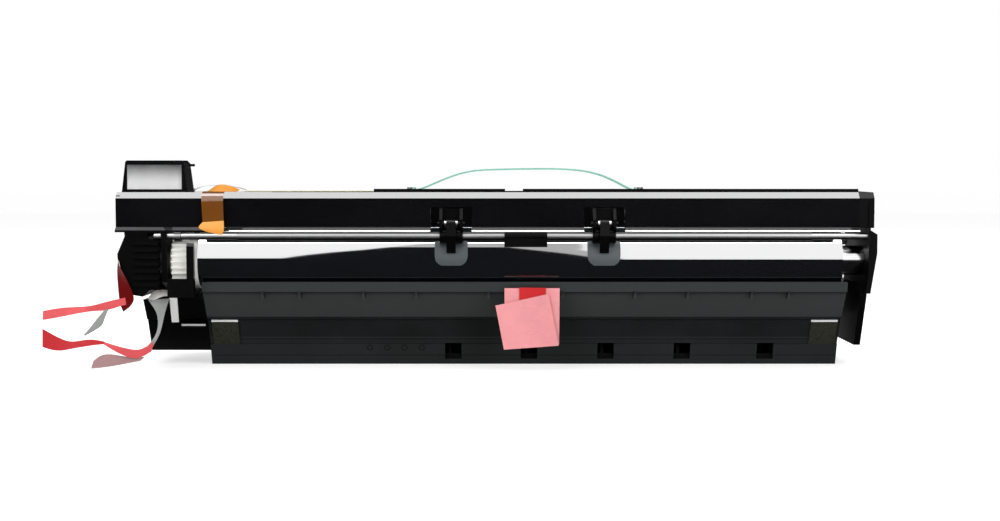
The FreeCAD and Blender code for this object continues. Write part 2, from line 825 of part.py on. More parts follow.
left_bores = (
    (drum_centre, bush_outer),
    (DEVELOPER, shaft_bore),
    (FRONT_AUGER, shaft_bore),
    (REAR_AUGER, size.supply_radius + size.running_clearance),
    (WASTE_AUGER, size.waste_shaft_radius + size.running_clearance),
    (ROD, size.rod_end_radius + size.running_clearance),
)
left_plate.pocket("YZ", -size.left_plate_x, size.left_plate_thickness,
                  *[circle_at(point, radius) for point, radius in left_bores])

right_plate = Piece("right_plate")
plate_outer = size.right_plate_x + size.right_plate_thickness
right_plate.pad("XZ", AXIS_Y - size.case_front - 1, size.case_front + 1 + size.case_back, [
    (size.right_plate_x, level.case_top - size.case_back_bevel - 1),
    (size.right_plate_x + 1, level.case_top - size.case_back_bevel - 1),
    (size.right_plate_x + 1, level.plate_neck),
    (plate_outer + 0.6, level.plate_shoulder),
    (plate_outer + 0.6, level.plate_waist),
    (size.right_plate_x + 1.2, level.slope_top_height),
    (size.right_plate_x - 1.6, level.slope_top_height),
    (size.right_plate_x, size.drum_height - size.hub_radius - 0.5),
])
right_plate.pad("YZ", size.case_right, size.cap_reach, [
    at(-size.case_front, level.case_bottom),
    at(-size.case_front, level.case_top - size.case_front_bevel),
    at(size.case_front_bevel - size.case_front, level.case_top),
    at(size.case_back - size.case_back_bevel, level.case_top),
    at(size.case_back, level.case_top - size.case_back_bevel),
    at(size.case_back, level.case_bottom),
])
right_plate.pad("YZ", size.lower_plate_x, size.lower_plate_thickness, [
    at(-size.slope_top_ahead, level.slope_top_height + 4),
    at(-size.slope_top_ahead, level.slope_top_height - 2),
    at(size.slope_foot_behind + 2, size.band_foot_height),
    at(TRAY_BACK - 3, size.band_foot_height),
    at(TRAY_BACK - 3, level.slope_top_height),
    at(size.case_back, level.slope_top_height + 4),
])
right_bores = (
    (drum_centre, size.hub_journal_radius + size.running_clearance),
    (FRONT_AUGER, shaft_bore),
    (REAR_AUGER, shaft_bore),
    (WASTE_AUGER, size.waste_shaft_radius + size.running_clearance),
    (ROD, size.rod_end_radius + size.running_clearance),
)
plate_reach = plate_outer + 1 - size.case_right
right_plate.pocket("YZ", size.case_right, plate_reach,
                   *[circle_at(point, radius) for point, radius in right_bores])

# Lower case

outer_front = [
    at(-size.lower_lip_ahead, level.lower_lip_height),
    at(-size.lip_front_ahead, level.lip_front_height),
    at(-size.lip_foot_ahead, level.lip_foot_height),
    at(-size.slope_top_ahead, level.slope_top_height),
    at(size.slope_foot_behind, level.slope_foot_height),
    at(size.slope_foot_behind + size.step_width, level.slope_foot_height - size.step_drop),
    at(size.band_foot_behind, size.band_foot_height),
    at(size.band_foot_behind - size.strip_back, size.band_foot_height - size.step_drop),
    at(size.strip_foot_behind, 0),
    at(size.lower_back - size.lower_back_bevel, 0),
    at(size.lower_back, size.lower_back_bevel),
]
wall = size.lower_wall
inner_back = [
    at(size.lower_back - wall, size.lower_back_bevel + 1),
    at(size.lower_back - size.lower_back_bevel - 1, wall),
    at(size.strip_foot_behind + wall, wall),
    at(size.band_foot_behind + wall, size.band_foot_height),
    at(size.slope_foot_behind + size.step_width + wall, level.slope_foot_height + wall / 2),
    at(size.slope_foot_behind + wall / 2, level.slope_foot_height + wall),
    at(-size.slope_top_ahead + wall, level.slope_top_height + wall / 2),
    at(-size.lip_foot_ahead + wall, level.lip_foot_height + wall / 2),
    at(-size.lip_front_ahead + wall, level.lip_front_height),
]
lower = Piece("lower_case")
lower.pad("YZ", -size.lower_left, size.lower_left + size.lower_right, outer_front + [
    at(size.lower_back, level.lower_back_top),
    at(size.lower_back - wall, level.lower_back_top),
] + inner_back)
end_outline = outer_front + [
    at(size.lower_back, level.lower_back_top),
    at(size.case_back - 6, level.end_wall_top),
    at(size.drum_radius, level.end_wall_top),
]
left_wall_x = -size.lower_left
for wall_x in (left_wall_x, size.lower_right - wall):
    lower.pad("YZ", wall_x, wall, end_outline)
    lower.pocket("YZ", wall_x, wall, circle_at(drum_centre, size.drum_radius + size.end_wall_drum_gap))
    rear_bore = size.supply_radius - size.chute_wall if wall_x is left_wall_x else shaft_bore
    lower.pocket("YZ", wall_x, wall, circle_at(DEVELOPER, shaft_bore), circle_at(FRONT_AUGER, shaft_bore),
                 circle_at(REAR_AUGER, rear_bore))
rib_front = AXIS_Y + size.strip_foot_behind + wall / 2
for index in range(-3, 5):
    rib_x = size.small_rib_middle + size.rib_spacing * index
    lower.pad("YZ", rib_x, size.rib_thickness, rectangle(
        rib_front, AXIS_Y + size.lower_back - wall / 2, wall / 2, level.tray_underside))
windows = (size.window_1_x, size.window_2_x, size.window_3_x, size.window_4_x, size.window_5_x)
for window_x in windows:
    left = window_x - size.window_size / 2
    lower.pocket("XZ", AXIS_Y + size.band_foot_behind - size.strip_back - 1, size.window_depth,
                 rectangle(left, left + size.window_size, size.window_bottom,
                           size.window_bottom + size.window_size))
for offset in (20.0, 59.0, 87.5, 122.0, 142.0):
    for side in (-1, 1):
        left = size.small_rib_middle + side * offset - size.small_rib_width / 2
        lower.pad("YZ", left, size.small_rib_width, [
            at(-size.lip_foot_ahead, level.lip_foot_height + 0.2),
            at(-size.lip_foot_ahead - size.small_rib_reach, level.lip_foot_height),
            at(-size.slope_top_ahead - size.small_rib_reach, level.lip_foot_height - size.small_rib_height),
            at(-size.slope_top_ahead + 2.5, level.lip_foot_height - size.small_rib_height),
            at(-size.slope_top_ahead + 1, level.slope_top_height),
        ])

pads = Piece("guide_pads")
for pad_x in (-size.pad_left_x, size.pad_right_x):
    pads.pad("YZ", pad_x, size.pad_length, [
        at(size.slope_foot_behind + size.step_width, level.slope_foot_height - size.step_drop),
        at(size.band_foot_behind, size.band_foot_height),
        at(size.band_foot_behind - size.pad_thickness, size.band_foot_height),
        at(size.slope_foot_behind + size.step_width - size.pad_thickness,
           level.slope_foot_height - size.step_drop),
    ])

# Developer tray, cover and doctor blade

trough = size.auger_radius + size.trough_gap
tray_left = -size.lower_left + wall + size.tray_end_gap
tray_length = size.lower_left + size.lower_right - wall * 2 - size.tray_end_gap * 2
tray = Piece("developer_tray")
tray.pad("YZ", tray_left, tray_length, [
    at(size.tray_front, level.tray_front_top),
    at(size.tray_front, level.tray_front_bottom),
    (FRONT_AUGER[0] - trough - size.tray_wall, FRONT_AUGER[1] - 1),
    (FRONT_AUGER[0] - size.tray_wall * 2, level.tray_underside),
    (REAR_AUGER[0] + size.tray_wall * 2, level.tray_underside),
    (AXIS_Y + TRAY_BACK, REAR_AUGER[1] - 4),
    at(TRAY_BACK, level.tray_top),
    (DEVELOPER[0] + size.developer_radius, level.tray_top),
    (DEVELOPER[0] + 1, level.tray_front_top),
])
tray.pocket("YZ", tray_left, tray_length, circle_at(DEVELOPER, size.developer_radius + size.trough_gap))
for point in (FRONT_AUGER, REAR_AUGER):
    tray.pocket("YZ", tray_left, tray_length, circle_at(point, trough))
    tray.pocket("YZ", tray_left, tray_length, rectangle(
        point[0] - trough, point[0] + trough, point[1], level.tray_top + 1))

cover = Piece("developer_cover")
cover.pad("YZ", tray_left, tray_length, rectangle(
    AXIS_Y + size.cover_front, AXIS_Y + TRAY_BACK, level.tray_top,
    level.tray_top + size.cover_thickness))
doctor_bottom = level.tray_top + size.cover_thickness
doctor_reach = size.developer_radius + size.doctor_gap
doctor_front = DEVELOPER[0] + doctor_reach * cosine(size.doctor_angle)
doctor = Piece("doctor_blade")
doctor.pad("YZ", -size.developer_left, size.developer_left + size.developer_right, rectangle(
    doctor_front, AXIS_Y + size.doctor_back, doctor_bottom,
    doctor_bottom + size.doctor_thickness))


def screws(label, places, head_bottom, head_y, shank_length):
    """Pan-head screws pointing down, one solid each."""
    group = Piece(label)
    for place in places:
        group.pad("XY", head_bottom, size.screw_head_height, Circle(place, head_y, size.screw_head_radius))
        group.pad("XY", head_bottom - shank_length, shank_length,
                  Circle(place, head_y, size.screw_shank_radius))
    return group


screws("doctor_screws", (-120, -40, 40, 120), doctor_bottom + size.doctor_thickness,
       AXIS_Y + size.doctor_back - 5, size.doctor_thickness)
doctor.pocket("XY", doctor_bottom, size.doctor_thickness, *[
    Circle(place, AXIS_Y + size.doctor_back - 5, size.screw_shank_radius)
    for place in (-120, -40, 40, 120)])

# Cleaning blade, holder and entrance seal

tip = polar(size.drum_radius + size.tip_gap, size.tip_angle)
along = (cosine(size.cleaning_slope), sine(size.cleaning_slope))
blade_span = size.cleaning_left + size.cleaning_right


def on_blade(distance, lift):
    """A point of the blade's section: distance from the tip, and height above its underside."""
    return (tip[0] + along[0] * distance - along[1] * lift, tip[1] + along[1] * distance + along[0] * lift)


rubber = Piece("cleaning_blade")
rubber.pad("YZ", -size.cleaning_left, blade_span, [
    on_blade(0, 0), on_blade(size.cleaning_length, 0),
    on_blade(size.cleaning_length, size.cleaning_thickness), on_blade(0, size.cleaning_thickness)])
thick = size.cleaning_thickness
holder = Piece("blade_holder")
holder.pad("YZ", -size.cleaning_left, blade_span, [
    on_blade(size.cleaning_length - size.holder_grip, thick),
    on_blade(size.cleaning_length, thick),
    at(size.partition_behind, level.partition_bottom + 1.5),
    at(size.partition_behind, level.partition_bottom + 13.5),
    at(size.partition_behind - size.holder_thickness, level.partition_bottom + 13.5),
    at(size.partition_behind - size.holder_thickness, level.partition_bottom + 4.0),
    on_blade(size.cleaning_length - 1, thick + size.holder_thickness),
    on_blade(size.cleaning_length - size.holder_grip, thick + size.holder_thickness)])
blade_screws = Piece("blade_screws")
for place in (-130, 15, 160):
    blade_screws.pad("XZ", AXIS_Y + size.partition_behind - size.holder_thickness - size.screw_head_height,
                     size.screw_head_height,
                     Circle(place, level.partition_bottom + 9, size.screw_head_radius))
seal_tip = polar(size.drum_radius + size.tip_gap, size.seal_angle)
seal = Piece("entrance_seal")
seal.pad("YZ", -size.cleaning_left, blade_span, [
    at(-size.case_front + size.recess_depth + 0.4, level.case_bottom),
    at(-size.case_front + size.case_wall + size.lip_reach, level.case_bottom),
    (seal_tip[0] + size.seal_thickness, seal_tip[1] + size.seal_thickness),
    seal_tip,
    at(-size.case_front + size.case_wall + size.lip_reach - 1, level.case_bottom - size.seal_thickness),
    at(-size.case_front + size.recess_depth + 0.4, level.case_bottom - size.seal_thickness)])

# Separation pawls on their rod

rod = Piece("pawl_shaft", centre(ROD))
rod_left = -size.left_plate_x - size.rod_end_play
rod_right = size.right_plate_x + size.right_plate_thickness
rod.pad("YZ", rod_left, rod_right - rod_left, Circle(0, 0, size.rod_end_radius))
rod.pad("YZ", -size.rod_thick_left, size.rod_thick_left + size.rod_thick_right,
        Circle(0, 0, size.rod_radius))
rod.pad("YZ", -size.collar_left, size.collar_length, Circle(0, 0, size.collar_radius))

ring_radius = size.rod_radius + size.bracket_ring
for number, place in enumerate(pawl_places, start=1):
    left = place - size.bracket_width / 2
    bracket = Piece("pawl_bracket_%d" % number)
    web_front = AXIS_Y - size.bracket_web_ahead
    bracket.pad("YZ", left, size.bracket_width, circle_at(ROD, ring_radius))
    bracket.pad("YZ", left, size.bracket_width, rectangle(
        web_front, web_front + size.bracket_web, ROD[1] + size.rod_radius, level.bracket_top))
    for cheek in (left, left + size.bracket_width - size.bracket_cheek):
        bracket.pad("YZ", cheek, size.bracket_cheek, [
            (web_front + size.bracket_web, ROD[1] + size.rod_radius),
            (web_front + size.bracket_web, level.bracket_top),
            (web_front - 2.0, level.bracket_top),
            (PIVOT[0] - 2.2, PIVOT[1] + 2.5),
            (PIVOT[0] - 2.2, PIVOT[1] - 1.5),
            (PIVOT[0] + 0.5, ROD[1] + size.rod_radius),
        ])
    bracket.pad("YZ", place - size.pin_length / 2, size.pin_length, circle_at(PIVOT, size.pin_radius))
    bracket.pocket("YZ", left, size.bracket_width, circle_at(ROD, size.rod_radius))

    pawl = Piece("pawl_%d" % number)
    pawl_left = place - size.pawl_width / 2
    pawl_tip = polar(size.drum_radius + size.pawl_tip_gap, size.pawl_tip_angle)
    rod_front = ROD[0] - ring_radius
    pawl.pad("YZ", pawl_left, size.pawl_width, [
        (PIVOT[0] - size.pawl_hub_radius, PIVOT[1]),
        (rod_front - 3.6, ROD[1] + 0.5),
        (rod_front - 1.8, ROD[1] - 4.6),
        (pawl_tip[0] - 0.8, pawl_tip[1] - 0.9),
        pawl_tip,
        (rod_front - 0.4, ROD[1] - 4.0),
        (rod_front - 1.0, ROD[1]),
        (rod_front - 0.6, ROD[1] + 3.4),
        (PIVOT[0] + 1.6, PIVOT[1] - 1.6),
    ])
    pawl.pad("YZ", pawl_left, size.pawl_width, circle_at(PIVOT, size.pawl_hub_radius))
    pawl.pocket("YZ", pawl_left, size.pawl_width,
                circle_at(PIVOT, size.pin_radius + size.running_clearance))

    spring = Piece("pawl_spring_%d" % number)
    for spring_x in (pawl_left - size.spring_width, pawl_left + size.pawl_width):
        spring.pad("YZ", spring_x, size.spring_width, circle_at(PIVOT, size.spring_radius),
                   circle_at(PIVOT, size.pin_radius + size.running_clearance))

    shield = Piece("pawl_shield_%d" % number)
    steps = 10
    turn = (size.shield_last_angle - size.shield_first_angle) / steps
    inside = size.drum_radius + size.shield_gap
    outside = inside + size.shield_thickness
    angles = [size.shield_first_angle + turn * step for step in range(steps + 1)]
    shield.pad("YZ", place - size.shield_width / 2, size.shield_width,
               [polar(inside, angle) for angle in angles]
               + [polar(outside, angle) for angle in reversed(angles)])

side_top = level.case_bottom - size.ledge_height
clip = Piece("rod_clip")
clip_ring = size.rod_radius + size.running_clearance + size.clip_wall
clip_front = AXIS_Y - size.clip_tab_ahead
clip.pad("YZ", size.clip_left, size.clip_width, circle_at(ROD, clip_ring))
clip.pad("YZ", size.clip_left, size.clip_width, rectangle(
    AXIS_Y - size.ledge_back + 0.2, AXIS_Y - size.ledge_back + 3.6, ROD[1], level.case_bottom))
clip.pad("YZ", size.clip_left, size.clip_width, rectangle(
    clip_front, clip_front + size.clip_tab_thickness, level.clip_tab_bottom, ROD[1] + 1))
clip.pocket("YZ", size.clip_left, size.clip_width,
            circle_at(ROD, size.rod_radius + size.running_clearance))
clip.pocket("YZ", size.clip_left, size.clip_width, rectangle(
    clip_front - 1, AXIS_Y - size.ledge_back + 0.2, side_top, level.case_bottom + 1))

# Drive cover with fins, and the toner tower with its chute


def chute_outline(front, span):
    """The sloping chute seen from the side, from under the case's top to the rear auger's tube."""
    top = level.case_top - size.case_wall
    foot_front = REAR_AUGER[0] - span / 2
    return [
        (AXIS_Y + front, top), (AXIS_Y + front + span, top),
        (foot_front + span, level.chute_foot), (foot_front, level.chute_foot),
    ]


side = Piece("drive_cover")
side_depth = size.cover_front_ahead + size.cover_back
cover_start = AXIS_Y - size.cover_front_ahead
cover_right = -size.left_plate_x - size.bush_rim - 0.1
side.pad("XZ", cover_start, side_depth, [
    (-size.cover_left, side_top),
    (-size.cover_left + 0.2, level.rod_height),
    (-size.case_left - 0.4, size.drum_height + 4),
    (-size.case_left + 2, size.drum_height - 7),
    (-size.case_left + 7, level.slope_top_height - 1),
    (-size.case_left + 13, level.slope_top_height - 2),
    (-size.case_left + 17, level.slope_top_height + 1.6),
    (cover_right, level.slope_top_height + 1.6),
    (cover_right, side_top),
])
hollow_left = -size.cover_left + size.cover_wall + 1
side.pocket("YZ", hollow_left, cover_right - hollow_left, rectangle(
    cover_start + size.cover_wall, AXIS_Y + size.cover_back - size.cover_wall,
    level.slope_top_height + 1.6 + size.cover_wall, side_top - size.cover_wall))
side.pocket("YZ", -size.case_left - 2, hollow_left + size.case_left + 3,
            circle_at(drum_centre, size.cover_hole_radius))
side.pocket("YZ", -size.case_left - 2, cover_right + size.case_left + 2,
            circle_at(REAR_AUGER, size.supply_radius + 0.2))
side.pocket("YZ", -size.chute_left - 0.2, size.chute_width + 0.4,
            chute_outline(size.chute_behind - 0.3, size.chute_span + 0.6))
rod_room = -size.left_plate_x - size.rod_end_play * 2
side.pocket("YZ", rod_room, cover_right - rod_room, circle_at(ROD, size.rod_end_radius + 0.4))
fin = side.pad("XZ", cover_start - size.fin_reach, size.fin_reach + 0.5, rectangle(
    -size.case_left + 8, cover_right - 0.4, level.fin_first_height,
    level.fin_first_height + size.fin_thickness))
side.row(fin, "Z", size.fin_count, size.fin_pitch)

tower = Piece("toner_inlet")
tower.pad("XZ", AXIS_Y + size.tower_front, size.tower_back - size.tower_front, [
    (-size.tower_left, level.case_top),
    (-size.tower_right, level.case_top),
    (-size.tower_right - size.tower_slope, level.tower_top - size.tower_corner),
    (-size.tower_right - size.tower_slope - size.tower_corner, level.tower_top),
    (-size.tower_left + size.tower_slope + size.tower_corner / 2, level.tower_top),
    (-size.tower_left + size.tower_slope, level.tower_top - size.tower_corner / 2),
])
room_left = -size.tower_left + size.tower_slope + size.tower_wall
room_right = -size.tower_right - size.tower_slope - size.tower_wall
tower.pocket("XZ", AXIS_Y + size.tower_front + size.tower_wall,
             size.tower_back - size.tower_front - size.tower_wall * 2,
             rectangle(room_left, room_right, level.case_top, level.tower_top - size.tower_wall))
tower.pocket("XZ", AXIS_Y + size.tower_front - 1, size.panel_depth + 1, rectangle(
    -size.tower_left + size.panel_border, -size.tower_right - size.panel_border * 1.7,
    level.case_top + 1, level.tower_top - size.panel_border))
port_right = -size.port_left + size.port_width
tower.pocket("XZ", AXIS_Y + size.tower_back - size.tower_wall - 1, size.tower_wall + 2, rectangle(
    -size.port_left, port_right, level.port_bottom, level.port_bottom + size.port_height))
shutter_bottom = level.port_bottom - size.shutter_margin
shutter_top = level.port_bottom + size.port_height + size.shutter_margin
for rail_z, lip_z in (
    (shutter_bottom - size.slide_gap - size.rail_thickness, shutter_bottom - size.slide_gap),
    (shutter_top + size.slide_gap, shutter_top + size.slide_gap - 0.6),
):
    tower.pad("XZ", AXIS_Y + size.tower_back, size.rail_reach, rectangle(
        -size.tower_left, -size.tower_right, rail_z, rail_z + size.rail_thickness))
shutter = Piece("inlet_shutter")
shutter.pad("XZ", AXIS_Y + size.tower_back + size.slide_gap, size.shutter_thickness, rectangle(
    -size.port_left - size.shutter_margin, port_right + size.shutter_margin,
    shutter_bottom, shutter_top))
shutter.pad("XZ", AXIS_Y + size.tower_back + size.slide_gap + size.shutter_thickness, 2.4, rectangle(
    port_right - 3, port_right - 1.4, shutter_bottom + 1.5, shutter_top - 1.5))

supply = Piece("supply_tube")
supply_end = -size.supply_left - 1.5
supply_bore = size.supply_radius - size.chute_wall + 0.3
supply.pad("YZ", supply_end, -size.lower_left - supply_end, circle_at(REAR_AUGER, size.supply_radius))
supply.pad("YZ", -size.chute_left, size.chute_width, chute_outline(size.chute_behind, size.chute_span))
supply.pocket("YZ", -size.chute_left + size.chute_wall, size.chute_width - size.chute_wall * 2,
              chute_outline(size.chute_behind + size.chute_wall, size.chute_span - size.chute_wall * 2))
supply.pocket("YZ", -size.chute_left, size.chute_left - size.lower_left, circle_at(REAR_AUGER, supply_bore))
supply.pocket("YZ", -size.supply_left, size.supply_left - size.chute_left, circle_at(REAR_AUGER, shaft_bore))

# Gear cover

guard = Piece("gear_cover")
guard_length = size.gear_cover_left - size.lower_left - 0.2
guard.pad("YZ", -size.gear_cover_left, guard_length, [
    at(-size.slope_top_ahead + 3, level.gear_cover_top),
    at(size.slope_foot_behind, level.slope_foot_height),
    at(size.slope_foot_behind + size.step_width, level.slope_foot_height - size.step_drop),
    at(size.band_foot_behind, size.band_foot_height),
    at(size.band_foot_behind + 2, size.gear_cover_bottom),
    at(size.gear_cover_back, size.gear_cover_bottom),
    at(size.gear_cover_back, level.gear_cover_top),
])
guard_wall = size.gear_cover_wall
guard.pocket("YZ", -size.gear_cover_left + guard_wall, guard_length - guard_wall * 2, [
    at(-size.slope_top_ahead + 6, level.gear_cover_top + 1),
    at(size.slope_foot_behind + 6, level.slope_foot_height),
    at(size.band_foot_behind + 4, size.band_foot_height),
    at(size.band_foot_behind + 4, size.gear_cover_bottom + guard_wall),
    at(size.gear_cover_back + 1, size.gear_cover_bottom + guard_wall),
    at(size.gear_cover_back + 1, level.gear_cover_top + 1),
])
guard.pocket("YZ", -size.lower_left - 0.2 - guard_wall - 1, guard_wall + 2,
             circle_at(FRONT_AUGER, size.shaft_radius + 0.3))
guard.pad("YZ", -size.apron_left, size.apron_left - size.apron_right, [
    at(-size.apron_ahead, level.apron_top),
    at(-size.apron_ahead + size.apron_thickness, level.apron_top),
    at(-size.apron_ahead + size.apron_thickness, level.apron_floor),
    at(-size.slope_top_ahead + 5, level.apron_floor),
    at(-size.slope_top_ahead + 5, level.gear_cover_top - 0.6),
    at(-size.slope_top_ahead + 3, level.gear_cover_top),
    at(-size.slope_top_ahead + 3, level.apron_floor - size.gear_cover_wall),
    at(-size.apron_ahead, level.apron_floor - size.gear_cover_wall),
])
guard.pad("YZ", -size.ledge_left, size.ledge_left - size.lower_left - 0.2, [
    at(size.slope_foot_behind + 5, level.slope_foot_height - 1.8),
    at(size.slope_foot_behind - 4, level.slope_foot_height - 2.4),
    at(size.slope_foot_behind - 4, level.slope_foot_height - 4.4),
    at(size.slope_foot_behind + 7, level.slope_foot_height - 6.0),
])
guard.pad("YZ", -size.strut_left, size.strut_width, [
    at(-size.strut_ahead, level.guard_strut_top - 1.5),
    at(-size.strut_ahead + 1.5, level.guard_strut_top),
    at(-size.strut_ahead + size.strut_thickness, level.guard_strut_top),
    at(-size.strut_ahead + size.strut_thickness, level.apron_floor),
    at(-size.strut_ahead, level.apron_floor),
])
foam = Piece("end_foam")
foam.pad("YZ", -size.foam_left, 4.0, [
    at(-size.slope_top_ahead + 3, level.gear_cover_top),
    at(size.slope_foot_behind, level.slope_foot_height),
    at(size.slope_foot_behind - 1.2, level.slope_foot_height - 0.8),
    at(-size.slope_top_ahead + 1.6, level.gear_cover_top - 0.6),
    at(-size.slope_top_ahead + 1.6, level.gear_cover_top + 1.5),
    at(-size.slope_top_ahead + 3, level.gear_cover_top + 1.5),
])

# Screws that hold the upper case and the strap

case_screws = Piece("case_screws")
cap_face = size.case_right + size.cap_reach
lower_face = size.lower_plate_x + size.lower_plate_thickness
for face, behind, height in (
    (cap_face, 26.0, 27.0), (cap_face, -9.0, 27.0), (lower_face, 10.0, -31.0), (lower_face, 50.0, -29.0),
):
    case_screws.pad("YZ", face, size.screw_head_height,
                    circle_at(at(behind, size.drum_height + height), size.screw_head_radius))

# Strap: a springy band arched over the top, with a flat tab at each end


def strap_shape():
    left, right = -size.strap_left.value, size.strap_right.value
    base = level.case_top.value
    thickness = size.strap_thickness.value
    middle = FreeCAD.Vector((left + right) / 2, 0, base)
    half = (right - left) / 2
    outer = Part.Ellipse(middle, half, size.strap_rise.value)
    inner = Part.Ellipse(middle, half - thickness, size.strap_rise.value - thickness)
    turn = FreeCAD.Rotation(FreeCAD.Vector(1, 0, 0), 90)
    edges = []
    for oval in (outer, inner):
        flat = Part.Ellipse(FreeCAD.Vector(), oval.MajorRadius, oval.MinorRadius)
        arc = Part.ArcOfEllipse(flat, 0, math.pi).toShape()
        arc.Placement = FreeCAD.Placement(middle, turn)
        edges.append(arc)
    for side in (-1, 1):
        edges.append(Part.makeLine(
            middle + FreeCAD.Vector(side * half, 0, 0),
            middle + FreeCAD.Vector(side * (half - thickness), 0, 0)))
    face = Part.Face(Part.Wire(Part.__sortEdges__(edges)))
    width = size.strap_width.value
    start = AXIS_Y.value + size.strap_behind.value
    band = face.extrude(FreeCAD.Vector(0, width, 0))
    band.translate(FreeCAD.Vector(0, start - band.BoundBox.YMin, 0))
    tab = size.strap_tab.value
    tabs = [
        Part.makeBox(tab, width, thickness, FreeCAD.Vector(left - tab + thickness, start, base)),
        Part.makeBox(tab, width, thickness, FreeCAD.Vector(right - thickness, start, base)),
    ]
    return band.fuse(tabs)


solid("lift_strap", strap_shape())
strap_screw_y = AXIS_Y + size.strap_behind + size.strap_width / 2
strap_screws = Piece("strap_screws")
for place in (-size.strap_left - size.strap_tab / 2, size.strap_right + size.strap_tab / 2):
    strap_screws.pad("XY", level.case_top + size.strap_thickness, size.screw_head_height,
                     Circle(place, strap_screw_y, size.screw_head_radius))

label_sheet = Piece("caution_label")
label_sheet.pad("XY", level.case_top, size.film_thickness, rectangle(
    -size.label_left, -size.label_left + size.label_length,
    AXIS_Y + size.label_front, AXIS_Y + size.label_front + size.label_width))

# Amber tape bent round the front edge of the upper case

amber = Piece("amber_tape")
film = size.film_thickness
amber.pad("YZ", -size.amber_left, size.amber_width, [
    at(size.amber_back, level.case_top),
    at(size.case_front_bevel - size.case_front, level.case_top),
    at(-size.case_front, level.case_top - size.case_front_bevel),
    at(-size.case_front, level.case_bottom + 0.5),
    at(-size.case_front - size.ledge_reach, level.case_bottom - size.ledge_height / 2),
    at(-size.case_front - size.ledge_reach, level.amber_bottom),
    at(-size.case_front - size.ledge_reach - film, level.amber_bottom),
    at(-size.case_front - size.ledge_reach - film, level.case_bottom - size.ledge_height / 2 + 0.2),
    at(-size.case_front - film, level.case_bottom + 0.8),
    at(-size.case_front - film, level.case_top - size.case_front_bevel + 0.2),
    at(size.case_front_bevel - size.case_front - 0.2, level.case_top + film),
    at(size.amber_back, level.case_top + film),
])


def ribbon(label, stations, width, thickness):
    """A flat tape through a row of places, each with the way its width points."""
    sections = []
    count = len(stations)
    for index, (place, across) in enumerate(stations):
        before = FreeCAD.Vector(*stations[max(index - 1, 0)][0])
        after = FreeCAD.Vector(*stations[min(index + 1, count - 1)][0])
        middle = FreeCAD.Vector(*place)
        forward = (after - before).normalize()
        wide = FreeCAD.Vector(*across)
        wide = (wide - forward * forward.dot(wide)).normalize() * (width / 2)
        thick = forward.cross(wide).normalize() * (thickness / 2)
        corners = [middle + wide + thick, middle - wide + thick,
                   middle - wide - thick, middle + wide - thick]
        sections.append(Part.makePolygon(corners + corners[:1]))
    return solid(label, Part.makeLoft(sections, True, True))


front_y = AXIS_Y.value
lip_y = front_y - size.lip_front_ahead.value
lip_z = level.lip_front_height.value
top_z = level.case_top.value
tape = size.film_thickness.value
tag = size.tag_thickness.value
guard_z = level.gear_cover_top.value
cover_y = front_y - size.cover_front_ahead.value
drum_z = size.drum_height.value
ribbon("clear_film", [
    ((-164.0, front_y + 2, top_z + 1.2), (0, 1, 0)), ((-156.0, front_y + 2, top_z + 3.6), (0, 1, 0)),
    ((-146.0, front_y + 2, top_z + 3.4), (0, 1, 0)), ((-136.0, front_y + 2, top_z + 1.0), (0, 1, 0)),
], 8.0, tape)
ribbon("tag_tape", [
    ((20.0, lip_y - 0.7, lip_z - 1.4), (1, 0, 0)), ((20.0, lip_y - 0.9, lip_z - 9.0), (1, 0, 0)),
], 14.4, tag)
ribbon("tag_rear", [
    ((19.5, lip_y - 1.6, lip_z - 1.8), (1, 0, 0)), ((19.5, lip_y - 2.2, lip_z - 32.6), (1, 0, 0)),
], 30.5, tag)
ribbon("tag_front", [
    ((15.2, lip_y - 2.8, lip_z - 5.0), (1, 0, 0.12)), ((19.0, lip_y - 4.2, lip_z - 35.6), (1, 0, 0.12)),
], 31.0, tag)
ribbon("side_tape", [
    ((-203.5, cover_y + 5.0, drum_z + 3.0), (0, 1, 0)), ((-201.6, cover_y + 5.0, drum_z - 6.0), (0, 1, 0)),
    ((-201.2, cover_y + 4.0, drum_z - 15.0), (0.5, 1, 0)), ((-199.8, cover_y + 2.5, drum_z - 25.0), (1, 0.6, 0)),
], 8.0, tape)
ribbon("pull_tape_upper", [
    ((-197.4, cover_y - 0.3, drum_z - 22.5), (0, 0, 1)), ((-203.0, cover_y - 0.6, drum_z - 23.6), (0, 0, 1)),
    ((-213.0, cover_y - 2.4, drum_z - 25.8), (0, 0.4, 1)),
    ((-228.0, cover_y - 4.0, drum_z - 29.0), (0, 0.3, 1)), ((-242.0, cover_y - 5.0, drum_z - 31.0), (0, 0.2, 1)),
], 8.0, tape)
ribbon("pull_tape_lower", [
    ((-187.8, front_y - 7.55, guard_z - 0.3), (1, 0, 0)), ((-187.8, front_y - 2.95, guard_z - 6.0), (1, 0, 0)),
    ((-189.0, front_y - 6.0, 22.0), (1, 0.2, 0.1)), ((-196.0, front_y - 11.0, 10.0), (0.7, 0.5, 0.7)),
    ((-204.0, front_y - 14.0, 8.2), (0.3, 0.4, 1)), ((-215.0, front_y - 16.0, 13.0), (0, 0.3, 1)),
    ((-229.0, front_y - 18.0, 14.0), (0, 0.2, 1)), ((-242.0, front_y - 19.0, 17.5), (0, 0.1, 1)),
], 9.0, tape)

# Recompute, check and write

